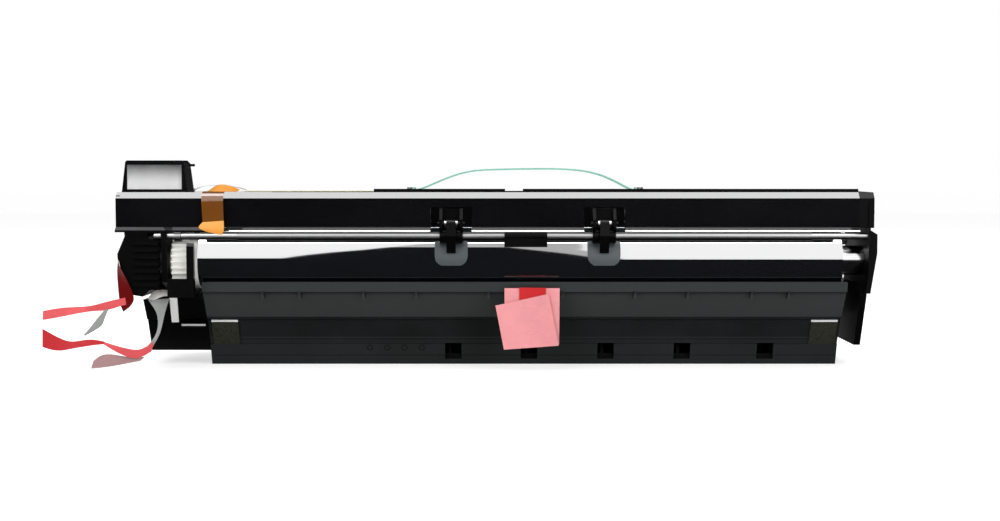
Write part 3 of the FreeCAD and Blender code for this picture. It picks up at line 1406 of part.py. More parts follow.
document.recompute()
faults = []
pieces = {}
for item in document.Objects:
    if "Invalid" in item.State or "Error" in item.State:
        faults.append("%s is in state %s" % (item.Label, item.State))
    if item.TypeId == "PartDesign::Pocket" and item.BaseFeature is not None:
        if item.Shape.Volume > item.BaseFeature.Shape.Volume - 0.01:
            faults.append("%s cuts nothing" % item.Label)
    if item.TypeId in ("PartDesign::Body", "Part::Feature") and item.getParentGeoFeatureGroup() is None:
        pieces[item.Label] = item
for label, item in pieces.items():
    if item.Shape.isNull() or not item.Shape.isValid() or not item.Shape.Solids:
        faults.append("%s has no valid solid" % label)
if faults:
    raise RuntimeError("; ".join(faults))
os.makedirs("parts", exist_ok=True)
for label, item in pieces.items():
    item.Shape.exportStep("parts/%s.step" % label)
    box = item.Shape.BoundBox
    print("%-18s solids %d  %7.1f..%6.1f  %6.1f..%6.1f  %6.1f..%6.1f  %9.0f mm3" % (
        label, len(item.Shape.Solids), box.XMin, box.XMax, box.YMin, box.YMax,
        box.ZMin, box.ZMax, item.Shape.Volume))
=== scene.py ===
# %% [markdown]
# # A printer drum unit, dressed and lit
#
# The real thing is the imaging unit of a wide-format printer: a glossy drum in a long black case,
# with a matt developer case below it and the factory's pink and amber packing tapes still on.
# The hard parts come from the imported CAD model. Here they get their finishes, and the soft parts
# (tapes, tags, films and the lifting strap) are made again as thin, slightly wavy sheets.

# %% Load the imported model
import json
import math

import bpy
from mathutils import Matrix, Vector


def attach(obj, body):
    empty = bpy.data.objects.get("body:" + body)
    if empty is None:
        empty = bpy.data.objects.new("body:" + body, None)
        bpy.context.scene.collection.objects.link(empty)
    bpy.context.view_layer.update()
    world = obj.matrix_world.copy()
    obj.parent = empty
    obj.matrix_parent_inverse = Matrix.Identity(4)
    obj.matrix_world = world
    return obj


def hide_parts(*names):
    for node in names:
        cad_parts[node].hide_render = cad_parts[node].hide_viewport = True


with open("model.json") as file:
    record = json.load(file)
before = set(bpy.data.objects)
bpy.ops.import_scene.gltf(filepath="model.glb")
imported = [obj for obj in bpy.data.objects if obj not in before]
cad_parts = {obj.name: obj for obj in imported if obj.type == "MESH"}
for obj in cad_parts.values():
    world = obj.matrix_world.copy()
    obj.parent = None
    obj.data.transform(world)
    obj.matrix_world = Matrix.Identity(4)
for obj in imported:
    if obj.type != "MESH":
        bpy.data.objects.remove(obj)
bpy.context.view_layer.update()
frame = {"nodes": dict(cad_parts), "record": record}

# %% [markdown]
# ## Camera
# The photograph was taken from straight in front, a little above the drum, from nearly a metre
# away: both end faces are hidden and the top is only just visible. The lens and the distance were
# worked out from how much smaller the parts at the back look than the parts at the front. A longer
# lens from further off would flatten the unit more than the photograph does.

# %% The camera
MM = 0.001
LOOK_DOWN = 3.38
LENS = 57.2
SIDEWAYS_SHIFT = 0.005


def mm(*numbers):
    return tuple(number * MM for number in numbers)


camera_data = bpy.data.cameras.new("front_view")
camera_data.sensor_width = 36
camera_data.lens = LENS
camera_data.shift_x = SIDEWAYS_SHIFT
camera = bpy.data.objects.new("front_view", camera_data)
camera.location = mm(0, -910, 110)
camera.rotation_euler = (math.radians(90 - LOOK_DOWN), 0, 0)
bpy.context.collection.objects.link(camera)
bpy.context.scene.camera = camera
print("camera at", tuple(camera.location), "lens", camera_data.lens)

# %% [markdown]
# ## A small language for materials
# Node trees are easier to read as sums than as a list of nodes and links. `Value` wraps the output
# of a node, and each operator on it adds one Math node. Each operator has its reflected form too, so
# that 1 - mask works. Two methods make masks, which are 1 on one part of the surface and 0 on the
# rest, with a soft edge between.

# %% Sums of sockets


class Value:
    """The output of a node, on which sums can be written."""

    def __init__(self, nodes, socket):
        self.nodes = nodes
        self.socket = socket

    def sum_with(self, operation, first, second):
        return self.nodes.add("ShaderNodeMath", {"operation": operation}, {0: first, 1: second})

    def __add__(self, other):
        return self.sum_with("ADD", self, other)

    def __radd__(self, other):
        return self.sum_with("ADD", other, self)

    def __sub__(self, other):
        return self.sum_with("SUBTRACT", self, other)

    def __rsub__(self, other):
        return self.sum_with("SUBTRACT", other, self)

    def __mul__(self, other):
        return self.sum_with("MULTIPLY", self, other)

    def __rmul__(self, other):
        return self.sum_with("MULTIPLY", other, self)

    def above(self, low, high):
        """0 below the low number, 1 above the high one, and smooth between them."""
        settings = {"interpolation_type": "SMOOTHSTEP", "clamp": True}
        return self.nodes.add("ShaderNodeMapRange", settings, {
            "Value": self, "From Min": low, "From Max": high, "To Min": 0.0, "To Max": 1.0})

    def within(self, low, high, soft):
        """1 between two numbers and 0 outside them, with soft edges on the inner side."""
        return self.above(low, low + soft) * (1 - self.above(high - soft, high))

    def between(self, low, high):
        """Spreads a 0 to 1 value over another range."""
        return self * (high - low) + low


print("sums can be written on sockets")

# %% [markdown]
# ## One way to add a node
# `Nodes` has a single method that adds any node: its settings come first, because some of them
# change which sockets the node has. `Finish` is such a tree for one material. It starts with the
# Principled shader and knows the few things that the finishes of this unit ask for: noise, a mix
# of two colours, a bump, the place on the piece, and the way the surface faces.

# %% Nodes and finishes


class Nodes:
    """A node tree, with one method that adds any node to it."""

    def __init__(self, tree):
        self.tree = tree

    def add(self, kind, settings=None, inputs=None, output=0):
        """Adds a node: its settings first, then the numbers or links of its sockets."""
        node = self.tree.nodes.new(kind)
        for name, setting in (settings or {}).items():
            setattr(node, name, setting)
        for name, source in (inputs or {}).items():
            self.connect(node.inputs[name], source)
        return Value(self, node.outputs[output])

    def connect(self, socket, source):
        if isinstance(source, Value):
            self.tree.links.new(source.socket, socket)
        else:
            socket.default_value = source


class Finish(Nodes):
    """One material, with its Principled shader and short ways to vary it."""

    def __init__(self, name, **constants):
        self.material = bpy.data.materials.new(name)
        self.material.use_nodes = True
        super().__init__(self.material.node_tree)
        self.shader = self.tree.nodes["Principled BSDF"]
        for socket, number in constants.items():
            self.shader.inputs[socket.replace("_", " ")].default_value = number
        self.place = self.add("ShaderNodeTexCoord", output="Object")

    def feed(self, name, source):
        """Gives one of the shader's own sockets a value that changes over the surface."""
        self.connect(self.shader.inputs[name], source)

    def surface(self, shader):
        """Sends a shader to the material's output in place of the Principled one."""
        self.connect(self.tree.nodes["Material Output"].inputs["Surface"], shader)

    def noise(self, scale, detail=2.0, stretch=(1, 1, 1), roughness=0.5):
        """Soft noise with about this many features a metre, drawn out along an axis by stretch."""
        spread = self.add("ShaderNodeMapping", None, {
            "Vector": self.place, "Scale": tuple(1 / part for part in stretch)})
        return self.add("ShaderNodeTexNoise", None, {
            "Vector": spread, "Scale": scale, "Detail": detail, "Roughness": roughness})

    def mix(self, amount, first, second):
        """A colour between two others."""
        return self.add("ShaderNodeMix", {"data_type": "RGBA"}, {0: amount, 6: first, 7: second}, output=2)

    def bump(self, height, depth, under=None):
        """Turns a height into a tilt of the surface. The depth is in metres."""
        inputs = {"Height": height, "Distance": depth, "Strength": 1.0}
        if under is not None:
            inputs["Normal"] = under
        return self.add("ShaderNodeBump", None, inputs)

    def along(self, axis):
        """The place along an axis of the object, in metres."""
        return self.add("ShaderNodeSeparateXYZ", None, {"Vector": self.place}, output=axis)

    def facing(self, axis):
        """How much the surface faces along an axis, from -1 to 1."""
        normal = self.add("ShaderNodeNewGeometry", output="Normal")
        return self.add("ShaderNodeSeparateXYZ", None, {"Vector": normal}, output=axis)

    def facing_us(self, low, high):
        """A mask of the surfaces that face the front of the unit."""
        return (self.facing("Y") * -1).above(low, high)


print("materials can be written as finishes")

# %% [markdown]
# ## Colours
# A shader wants four numbers for a colour. Three helpers write them: a grey, a tint, and a tint
# that is a given part darker or lighter.

# %% Colours


def grey(level):
    return (level, level, level, 1.0)


def tint(red, green, blue):
    return (red, green, blue, 1.0)


def scaled(colour, factor):
    return tint(*[part * factor for part in colour])


print("mid grey is", grey(0.18))

# %% [markdown]
# ## Moulded black plastic
# Most of the unit is black plastic, and no black part is one flat colour. A broad, faint change of
# shade comes from how the melt flowed, a fine grain from the mould's surface, and dust settles on
# what faces up. A picture of plastic wrapped round the part would show seams, so the three are
# worked out from the place on the piece. The last argument can change the finish in one zone.

# %% A moulded black
SHADES_A_METRE = 26
GRAINS_A_METRE = 900
SPECKS_A_METRE = 520
DUST = (0.32, 0.31, 0.30)


def moulded_black(name, colour, rough, grain_size, grain_depth, dust, specular, change=None):
    finish = Finish(name, Specular_IOR_Level=specular)
    broad = finish.noise(SHADES_A_METRE, 3.0)
    fine = finish.noise(GRAINS_A_METRE, 2.0)
    upward = finish.facing("Z").above(0.45, 1.0)
    specks = finish.noise(SPECKS_A_METRE, 4.0, roughness=0.7).above(0.56, 0.74)
    dusty = (specks * 0.75 + 0.25) * upward * dust
    base = finish.mix(broad.above(0.3, 0.7), scaled(colour, 0.82), scaled(colour, 1.2))
    base = finish.mix(dusty, base, tint(*DUST))
    rough_now = fine.between(rough * 0.9, rough * 1.12) + broad.between(-0.03, 0.04) + dusty * 0.4
    tilt = finish.bump(finish.noise(grain_size, 3.0, roughness=0.6), grain_depth)
    if change is not None:
        base, rough_now, tilt = change(finish, base, rough_now, tilt)
    finish.feed("Base Color", base)
    finish.feed("Roughness", rough_now)
    finish.feed("Normal", tilt)
    return finish.material


print("a moulded black has", SHADES_A_METRE, "shades and", GRAINS_A_METRE, "grains a metre")

# %% [markdown]
# ## The ridge along the case
# A narrow ridge runs along the foot of the upper case. The real one is rounded, so part of it always
# mirrors the lamp overhead and draws a thin bright line. A bevel in the mesh would do the same, but
# the CAD solid isn't touched here, so a bump rolls the flat face backwards over its few millimetres.
# The ridge's colour is also painted a lighter, part-metal grey: a painted highlight on the line.

# %% The ridge's roll
RIDGE_FOOT = 0.0752
RIDGE_TOP = 0.0777
RIDGE_LEFT = -0.145
RIDGE_ROLL = 0.9


def rounded_ridge(finish, base, rough_now, tilt):
    """A painted highlight and a bump on the ridge, from the right edge of the amber tape onwards."""
    height = finish.along("Z")
    on_ridge = height.within(RIDGE_FOOT, RIDGE_TOP, 0.0003) * finish.facing_us(0.5, 0.9)
    on_ridge = on_ridge * finish.along("X").above(RIDGE_LEFT, RIDGE_LEFT + 0.003)
    roll = finish.bump(height * on_ridge * -1, RIDGE_ROLL, under=tilt)
    # Painted highlight: the ridge's colour turns a lighter grey, part metal.
    finish.feed("Metallic", on_ridge * 0.4)
    return finish.mix(on_ridge, base, grey(0.35)), rough_now, roll


print("the ridge is", round((RIDGE_TOP - RIDGE_FOOT) / MM, 1), "mm high")

# %% [markdown]
# ## The panel on the toner inlet
# The front of the toner inlet carries a panel in a black frame. The panel is painted pale at its foot
# and darker towards its top: a painted reflection of the white room in its gloss. A picture would
# need a file, and the painted reflection is smooth, so the height on the piece gives it directly.

# %% The panel's painted reflection
INLET_LEFT = -0.2004
INLET_RIGHT = -0.1702
INLET_FOOT = 0.0975
INLET_HEAD = 0.1114


def panel_painted_reflection(finish, base, rough_now, tilt):
    """A painted reflection: pale at the panel's foot and darker towards its top."""
    height = finish.along("Z")
    inside = finish.along("X").within(INLET_LEFT, INLET_RIGHT, 0.0006)
    inside = inside * height.above(INLET_FOOT, INLET_FOOT + 0.0005)
    inside = inside * (1 - height.above(INLET_HEAD - 0.0006, INLET_HEAD)) * finish.facing_us(0.85, 0.95)
    mottle = finish.noise(90, 4.0, roughness=0.7).between(-0.12, 0.12)
    shade = (1 - height.above(0.0985, 0.1130)) + mottle
    # Painted reflection: from near black at the top to pale at the foot.
    panel = finish.mix(shade, tint(0.045, 0.048, 0.05), grey(0.96))
    return finish.mix(inside, base, panel), rough_now + inside * 0.35, tilt


print("the inlet panel is", round((INLET_RIGHT - INLET_LEFT) / MM, 1), "mm wide")

# %% [markdown]
# ## The front of the lower case
# The lower case is moulded in one piece, but its zones don't look alike. The band along its top is
# painted lighter, a painted reflection of the white floor that this downward-facing band mirrors,
# and the panel below it is lighter too. Lower down there are a pale edge, a fine groove painted dark
# as painted shade, and four small rings of painted shade where the foot has small holes. The back of
# each window is painted nearly black, a painted shade that makes it look as deep as the real one.
# Each zone is a mask from the height and the place across, and they are laid over the grey one after
# another. Separate materials would need the faces cut along each zone.

# %% Rings of painted shade
RING_HEIGHT = 9.6
RING_PLACES = (-69.5, -59.9, -50.3, -40.7)


def hole_shade_ring(finish, across, height, place):
    """A ring of painted shade at a hole: 1 on its rim, 0 elsewhere. Its sums are in square millimetres."""
    aside = across * 1000 - place
    up = height * 1000 - RING_HEIGHT
    square = aside * aside + up * up
    return square.above(0.9, 1.5) * (1 - square.above(2.6, 3.4))


print(len(RING_PLACES), "painted hole-shade rings")

# %% Zones of the lower case
BAND_FOOT = 0.0405
PANEL_FOOT = 0.0277
FOOT_TOP = 0.0145
WINDOW_BACK = -0.0275
LIGHT_GREY = tint(0.045, 0.052, 0.051)
PANEL_GREY = tint(0.058, 0.065, 0.063)


def moulded_front(finish, base, rough_now, tilt):
    """The zones of the lower case, from its top band down to its foot."""
    height = finish.along("Z")
    across = finish.along("X")
    forward = finish.facing_us(0.6, 0.9)
    band = height.above(BAND_FOOT, BAND_FOOT + 0.0007)
    panel = height.above(PANEL_FOOT, PANEL_FOOT + 0.0004) * (1 - band) * forward
    foot = (1 - height.above(FOOT_TOP - 0.0007, FOOT_TOP)) * forward
    edge = height.within(0.0150, 0.0160, 0.0002) * forward
    groove_shade = height.within(0.0048, 0.0056, 0.0002) * forward
    window_shade = finish.along("Y").above(WINDOW_BACK, WINDOW_BACK + 0.0003) * forward
    window_shade = window_shade * height.above(0.0026, 0.0029) * (1 - height.above(0.0125, 0.0130))
    # Painted reflection: the top band is painted lighter, as the white floor shows in it.
    base = finish.mix(band * forward * 0.8, base, LIGHT_GREY)
    base = finish.mix(panel, base, PANEL_GREY)
    base = finish.mix(foot * 0.3 + edge * 0.4, base, LIGHT_GREY)
    # Painted shade: a dark line for the groove, and near black for the back of each window.
    base = finish.mix(groove_shade * 0.5, base, grey(0.002))
    base = finish.mix(window_shade, base, grey(0.0006))
    # Painted shade: dark rings where the foot has small holes.
    for place in RING_PLACES:
        ring = hole_shade_ring(finish, across, height, place) * forward
        base = finish.mix(ring * 0.7, base, grey(0.002))
    return base, rough_now, tilt


print("the lighter panel is", round((BAND_FOOT - PANEL_FOOT) / MM, 1), "mm high")

# %% [markdown]
# ## The ledge on the gear cover
# A small ledge sticks out of the gear cover on the left, and a pale painted highlight runs along its
# edge, where the lamp overhead would glint.
# Painting it by hand would need a picture, so three masks, one for each axis, mark the edge and a
# noise breaks it up.

# %% The ledge's painted highlight
LEDGE_LEFT = -0.1716
LEDGE_FOOT = 0.0230
LEDGE_TOP = 0.0255
LEDGE_BACK = -0.0446


def ledge_highlight(finish, base, rough_now, tilt):
    """A painted highlight along the edge of the ledge on the gear cover."""
    highlit = finish.along("X").above(LEDGE_LEFT, LEDGE_LEFT + 0.0006)
    highlit = highlit * finish.along("Z").within(LEDGE_FOOT, LEDGE_TOP, 0.0003)
    highlit = highlit * (1 - finish.along("Y").above(LEDGE_BACK - 0.0006, LEDGE_BACK))
    # Painted highlight: the edge turns pale grey, broken up by a noise.
    return finish.mix(highlit * finish.noise(300, 3.0).between(0.7, 1.0), base, grey(0.85)), rough_now, tilt


print("the worn edge is", round((LEDGE_TOP - LEDGE_FOOT) / MM, 1), "mm high")

# %% [markdown]
# ## The unit's blacks
# The upper case and the toner inlet are polished plastic that mirrors the studio. The working parts
# are plain black. The lower case is spark-eroded, a fine matt grain that looks dark grey under soft
# light. One function makes them all, because they differ only in their numbers: roughness, grains
# a metre, depth of the grain in metres, dust, and how strongly they mirror.

# %% Black finishes
POLISHED = (0.004, 0.004, 0.005)
WORKING = (0.0022, 0.0022, 0.0026)
ERODED = (0.0128, 0.0155, 0.0160)
STIRRER = (0.012, 0.012, 0.012)
gloss_black = moulded_black("gloss_black", POLISHED, 0.10, 60, 0.00005, 0.05, 0.8)
case_gloss = moulded_black("case_gloss", POLISHED, 0.10, 60, 0.00005, 0.05, 0.8, rounded_ridge)
plate_black = moulded_black("plate_black", WORKING, 0.42, 400, 0.00002, 0.01, 0.12)
inlet_gloss = moulded_black("inlet_gloss", POLISHED, 0.12, 60, 0.00005, 0.05, 0.8, panel_painted_reflection)
matt_black = moulded_black("matt_black", WORKING, 0.34, 1600, 0.00002, 0.01, 0.15)
cover_black = moulded_black("cover_black", WORKING, 0.34, 1600, 0.00002, 0.01, 0.15, ledge_highlight)
case_grey = moulded_black("case_grey", ERODED, 0.6, 2400, 0.00006, 0.03, 0.16, moulded_front)
auger_plastic = moulded_black("auger_plastic", STIRRER, 0.42, 1500, 0.00002, 0.0, 0.35)
print("eight black finishes made")

# %% [markdown]
# ## The drum
# The drum is an aluminium tube with a thin organic coating, nearly black, and as smooth as a mirror.
# A plain glossy black would mirror too faintly for the photograph's white bands, so a clear coat
# with a high index lies over it. Faint rings run round the tube where the coating was drawn on, so
# its noise is drawn out round the axis and stays fine along it.

# %% The drum's coating
drum_finish = Finish("drum_coating", IOR=1.9, Specular_IOR_Level=1.0, Coat_Weight=1.0, Coat_IOR=3.6,
                     Coat_Roughness=0.04)
rings = drum_finish.noise(900, 2.0, stretch=(1, 60, 60))
drum_finish.feed("Base Color", drum_finish.mix(rings.above(0.3, 0.7), tint(0.0015, 0.002, 0.005),
                                               tint(0.003, 0.004, 0.008)))
drum_finish.feed("Roughness", rings.between(0.035, 0.07))
drum_finish.feed("Normal", drum_finish.bump(rings, 0.000002))
drum_coating = drum_finish.material
print("drum coating made")

# %% [markdown]
# ## White resin
# The white parts, such as the gears, are acetal with a slightly waxy surface and a breath of black
# toner. Real toner gathers in corners. Here a noise strews it thinly over the whole surface, because
# it is too faint at this size to tell the two apart.

# %% White resin
resin = Finish("white_plastic", Specular_IOR_Level=0.5, Subsurface_Weight=0.0)
toner = resin.noise(70, 5.0, roughness=0.7).above(0.60, 0.82)
resin.feed("Base Color", resin.mix(toner * 0.3, tint(0.99, 0.99, 0.95), tint(0.30, 0.29, 0.27)))
resin.feed("Roughness", resin.noise(300).between(0.34, 0.50))
resin.feed("Normal", resin.bump(resin.noise(1200, 3.0), 0.00001))
white_plastic = resin.material
print("white resin made")

# %% [markdown]
# ## Metals
# Shafts are steel bar that was drawn through a die, which leaves fine lines along them, so their
# noise is drawn out along the unit. The rod that carries the pawls is dark metal with a painted
# highlight, a bright band along its front; above the band its dark colour is painted shade under the
# case's overhang. The drum's hub is the smoothest of them. One function makes them all, because only
# colour, roughness and the lines differ.

# %% Metal finishes
ROD_HIGHLIGHT_FOOT = 0.0714
ROD_HIGHLIGHT_TOP = 0.0741


def rod_highlight(finish, base):
    """A painted highlight: a bright band along the front of the dark rod."""
    height = finish.along("Z")
    highlight_band = height.above(ROD_HIGHLIGHT_FOOT, ROD_HIGHLIGHT_FOOT + 0.0006) * (1 - height.above(ROD_HIGHLIGHT_TOP - 0.0005, ROD_HIGHLIGHT_TOP))
    # Painted highlight: a bright band along the rod's front.
    return finish.mix(highlight_band * finish.facing_us(0.4, 0.7), base, grey(0.64))


def metal(name, colour, rough, stretch, change=None):
    finish = Finish(name, Metallic=1.0)
    lines = finish.noise(1500, 3.0, stretch=stretch)
    base = finish.mix(lines.above(0.3, 0.7), scaled(colour, 0.82), tint(*colour))
    if change is not None:
        base = change(finish, base)
    finish.feed("Base Color", base)
    finish.feed("Roughness", lines.between(rough * 0.8, rough * 1.25))
    finish.feed("Normal", finish.bump(lines, 0.000006))
    return finish.material


DRAWN_OUT = (6, 1, 1)
EVEN = (1, 1, 1)
# The rod's dark colour is partly painted shade, under the case's overhang.
rod_black = metal("rod_black", (0.06, 0.06, 0.062), 0.44, DRAWN_OUT, rod_highlight)
hub_black = metal("hub_black", (0.58, 0.58, 0.59), 0.15, DRAWN_OUT)
steel = metal("steel", (0.62, 0.62, 0.63), 0.26, DRAWN_OUT)
sleeve = metal("sleeve", (0.40, 0.40, 0.41), 0.5, EVEN)
print("four metals made")

# %% [markdown]
# ## Rubber and foam
# The rollers are dark rubber with a dull, slightly uneven skin. The pads and the end seal are open
# foam, and cells from a Voronoi texture look more like foam than noise does. A pale line is painted
# along the top of the upright pads: a painted highlight on their top edge.

# %% Rubber and foam finishes
PAD_HIGHLIGHT_FOOT = 0.0246
DARK_RUBBER = tint(0.014, 0.014, 0.014)
RUBBED_RUBBER = tint(0.026, 0.026, 0.026)
rubber = Finish("roller_rubber", Specular_IOR_Level=0.3)
rubber.feed("Base Color", rubber.mix(rubber.noise(200, 3.0), DARK_RUBBER, RUBBED_RUBBER))
rubber.feed("Roughness", rubber.noise(800).between(0.55, 0.7))
rubber.feed("Normal", rubber.bump(rubber.noise(1800, 2.0), 0.00002))
roller_rubber = rubber.material


def foam_finish(name, dark, light, edge=0.0):
    """Open cells; with edge, a painted highlight runs pale along the top of an upright pad."""
    finish = Finish(name, Specular_IOR_Level=0.1, Roughness=0.95)
    cells = finish.add("ShaderNodeTexVoronoi", {"feature": "F1"}, {"Vector": finish.place, "Scale": 1100.0})
    edge_highlight = finish.along("Z").above(PAD_HIGHLIGHT_FOOT, PAD_HIGHLIGHT_FOOT + 0.0003) * edge
    # Painted highlight: a pale line along the top edge of the upright pads.
    finish.feed("Base Color", finish.mix(edge_highlight, finish.mix(cells, light, dark), grey(0.95)))
    finish.feed("Normal", finish.bump(cells, 0.0002))
    return finish.material


foam = foam_finish("foam", tint(0.90, 0.90, 0.88), tint(0.99, 0.99, 0.97))
dark_foam = foam_finish("dark_foam", tint(0.020, 0.021, 0.014), tint(0.045, 0.046, 0.034), edge=1.0)
print("rubber and foam made")

# %% [markdown]
# ## Films, papers and tapes
# The packing parts are thin plastic and paper. Amber polyimide tape is clear and deep orange, and
# over black it looks brown, while its loose ends glow, so the two have a finish each. The pink tags
# are coloured paper with a faint fibre. Creases catch the light, which a broad bump gives: folding
# each crease into the mesh would cost many faces for little.

# %% A sheet's finish


def film_finish(name, colour, rough, wrinkle, see_through=0.0, fibre=0.0, specular=0.5):
    finish = Finish(name, Specular_IOR_Level=specular, Alpha=1.0 - see_through)
    cloudy = finish.noise(55, 3.0)
    fibres = finish.noise(1500, 3.0, stretch=(4, 1, 1), roughness=0.7)
    shade = cloudy * 0.6 + fibres * 0.4
    finish.feed("Base Color", finish.mix(shade.above(0.3, 0.7), scaled(colour, 0.88 - fibre), tint(*colour)))
    finish.feed("Roughness", fibres.between(rough * 0.85, rough * 1.15))
    creases = finish.noise(110, 2.0, stretch=(1, 2.4, 2.4))
    finish.feed("Normal", finish.bump(fibres, 0.000015, under=finish.bump(creases, wrinkle)))
    return finish.material


print("films are ready to be coloured")

# %% [markdown]
# ## The unit's sheets
# The lower pull tape takes four of these, because it shows grey film, a pink face, a red face and a
# dusty end in turn. The colours were matched by comparing renders with the photograph.

# %% Sheet finishes
pink_film = film_finish("pink_film", (0.93, 0.36, 0.38), 0.55, 0.0002, fibre=0.02, specular=0.3)
pink_paper = film_finish("pink_paper", (0.97, 0.38, 0.40), 0.7, 0.0001, fibre=0.03, specular=0.2)
# The red film is darker than the tape's own red: part of its colour is painted shade.
red_film = film_finish("red_film", (0.17, 0.0015, 0.003), 0.4, 0.0003, specular=0.1)
amber_film = film_finish("amber_film", (0.20, 0.066, 0.007), 0.12, 0.0003, specular=1.0)
grey_film = film_finish("grey_film", (0.36, 0.37, 0.36), 0.35, 0.0004)
seal_film = film_finish("seal_film", (0.085, 0.10, 0.105), 0.35, 0.0002)
clear_film = film_finish("clear_film", (0.75, 0.76, 0.76), 0.15, 0.0004, see_through=0.45)
green_band = film_finish("green_band", (0.34, 0.84, 0.66), 0.35, 0.0001)
bright_amber = film_finish("bright_amber", (1.0, 0.40, 0.06), 0.3, 0.0004)
tag_red = film_finish("tag_red", (0.72, 0.012, 0.016), 0.35, 0.0002)
hot_pink = film_finish("hot_pink", (0.84, 0.10, 0.11), 0.5, 0.0003, specular=0.3)
deep_red = film_finish("deep_red", (0.62, 0.018, 0.026), 0.45, 0.0003, specular=0.3)
dusty_pink = film_finish("dusty_pink", (0.46, 0.27, 0.27), 0.5, 0.0003, specular=0.3)
white_film = film_finish("white_film", (0.97, 0.96, 0.92), 0.4, 0.0006)
label_paper = film_finish("label_paper", (0.97, 0.96, 0.62), 0.5, 0.0001, specular=0.3)
print("sheet finishes made")

# %% [markdown]
# ## Give every CAD node its finish
# The record names a material slot for each node, and each slot is one finish. Five nodes have a
# zone or a gloss of their own, so they are looked up by name first. Assigning by hand in the window
# would do as well, but not again after the model is packed anew.

# %% Finishes of the CAD nodes
FINISHES = {
    "gloss_black": gloss_black, "matt_black": matt_black, "case_grey": case_grey, "rod_black": rod_black,
    "auger_plastic": auger_plastic, "drum_coating": drum_coating, "white_plastic": white_plastic,
    "steel": steel, "sleeve": sleeve, "roller_rubber": roller_rubber, "foam": foam, "dark_foam": dark_foam,
    "pink_film": pink_film, "red_film": red_film, "amber_film": amber_film, "seal_film": seal_film,
    "clear_film": clear_film, "green_band": green_band, "label_paper": label_paper,
}
OWN_FINISHES = {
    "upper_case": case_gloss, "toner_inlet": inlet_gloss, "right_plate": plate_black,
    "gear_cover": cover_black, "drum_hub": hub_black,
}
for part in frame["record"]["subparts"]:
    node = frame["nodes"][part["node"]]
    node.data.materials.clear()
    finish = OWN_FINISHES.get(part["node"], FINISHES[part["material_slot"]])
    node.data.materials.append(finish)
print(len(frame["nodes"]), "CAD nodes have a finish")

# %% [markdown]
# ## Floor and room
# A pale floor keeps the object's shadow. It also glows, but for the camera only, so that it is as
# white as the photograph's background without throwing light up under the unit. The room is white
# where the camera or a reflection sees it and dimmer as a source of light, which keeps the blacks
# black.

# %% Floor
FLOOR_SIZE = 12
FLOOR_GLOW = 0.62


def floor_material():
    finish = Finish("floor_white", Roughness=0.9, Specular_IOR_Level=0.1)
    seen = finish.add("ShaderNodeLightPath", output="Is Camera Ray")
    finish.feed("Base Color", finish.mix(finish.noise(3, 2.0), grey(0.86), grey(0.88)))
    glow = finish.add("ShaderNodeEmission", None, {"Color": grey(1.0), "Strength": seen * FLOOR_GLOW})
    plain = Value(finish, finish.shader.outputs[0])
    finish.surface(finish.add("ShaderNodeAddShader", None, {0: plain, 1: glow}))
    return finish.material


bpy.ops.mesh.primitive_plane_add(size=FLOOR_SIZE, location=(0, 0, 0))
floor = bpy.context.object
floor.name = "floor"
floor.data.materials.append(floor_material())
print("floor of", FLOOR_SIZE, "metres laid")

# %% Room
ROOM_LIGHT = 0.40
world = bpy.data.worlds.new("studio")
bpy.context.scene.world = world
world.use_nodes = True
room = Nodes(world.node_tree)
camera_ray = room.add("ShaderNodeLightPath", output="Is Camera Ray")
glossy_ray = room.add("ShaderNodeLightPath", output="Is Glossy Ray")
through_ray = room.add("ShaderNodeLightPath", output="Is Transmission Ray")
looked_at = room.add("ShaderNodeMath", {"operation": "ADD", "use_clamp": True},
                     {0: camera_ray + glossy_ray, 1: through_ray})
background = world.node_tree.nodes["Background"]
background.inputs["Color"].default_value = grey(1.0)
room.connect(background.inputs["Strength"], looked_at.between(ROOM_LIGHT, 1.0))
bpy.context.scene.view_settings.view_transform = "Standard"
print("room lights with", ROOM_LIGHT, "and looks white")

# %% [markdown]
# ## Lamps
# Two soft boxes stand left and right of the camera and a strip hangs overhead. Small lamps would
# give hard shadows that the photograph doesn't have. The two boxes aren't mirrored: the cards below
# take that part, because a card can have any shape and brightness.

# %% Lamps


def soft_box(name, place, target, wide, high, power, mirrored):
    """A rectangular lamp at a place, turned to face its target."""
    lamp_data = bpy.data.lights.new(name, "AREA")
    lamp_data.shape = "RECTANGLE"
    lamp_data.size = wide
    lamp_data.size_y = high
    lamp_data.energy = power
    lamp = bpy.data.objects.new(name, lamp_data)
    lamp.location = place
    direction = Vector(target) - Vector(place)
    lamp.rotation_euler = direction.to_track_quat("-Z", "Y").to_euler()
    lamp.visible_glossy = mirrored
    bpy.context.collection.objects.link(lamp)
    print(name, "of", power, "watts")


soft_box("left_soft_box", (-0.75, -0.9, 0.62), (-0.05, -0.04, 0.05), 0.7, 0.9, 4.7, mirrored=False)
soft_box("right_soft_box", (0.80, -0.9, 0.55), (0.05, -0.04, 0.05), 0.8, 0.9, 5.2, mirrored=False)
soft_box("overhead_strip", (0.0, -0.10, 0.95), (0, -0.04, 0.05), 1.3, 0.22, 4.0, mirrored=True)

# %% [markdown]
# ## Cards and flags
# What a glossy black part shows is the room. Photographers of such parts hang white cards where a
# highlight should be and black cloth, called a flag, everywhere else. A cylinder mirrors a fan of
# directions, so two cards with slanting edges give the drum its white bands, which taper to
# points near its middle. Only reflections see these cards: they take no part in the lighting.

# %% Things that only reflections see


def show_to_reflections_only(board):
    board.visible_camera = False
    board.visible_diffuse = False
    board.visible_transmission = False
    board.visible_shadow = False


def glow(name, strength):
    finish = Finish(name, Roughness=1.0, Specular_IOR_Level=0.0)
    finish.surface(finish.add("ShaderNodeEmission", None, {"Color": grey(1.0), "Strength": strength}))
    return finish.material


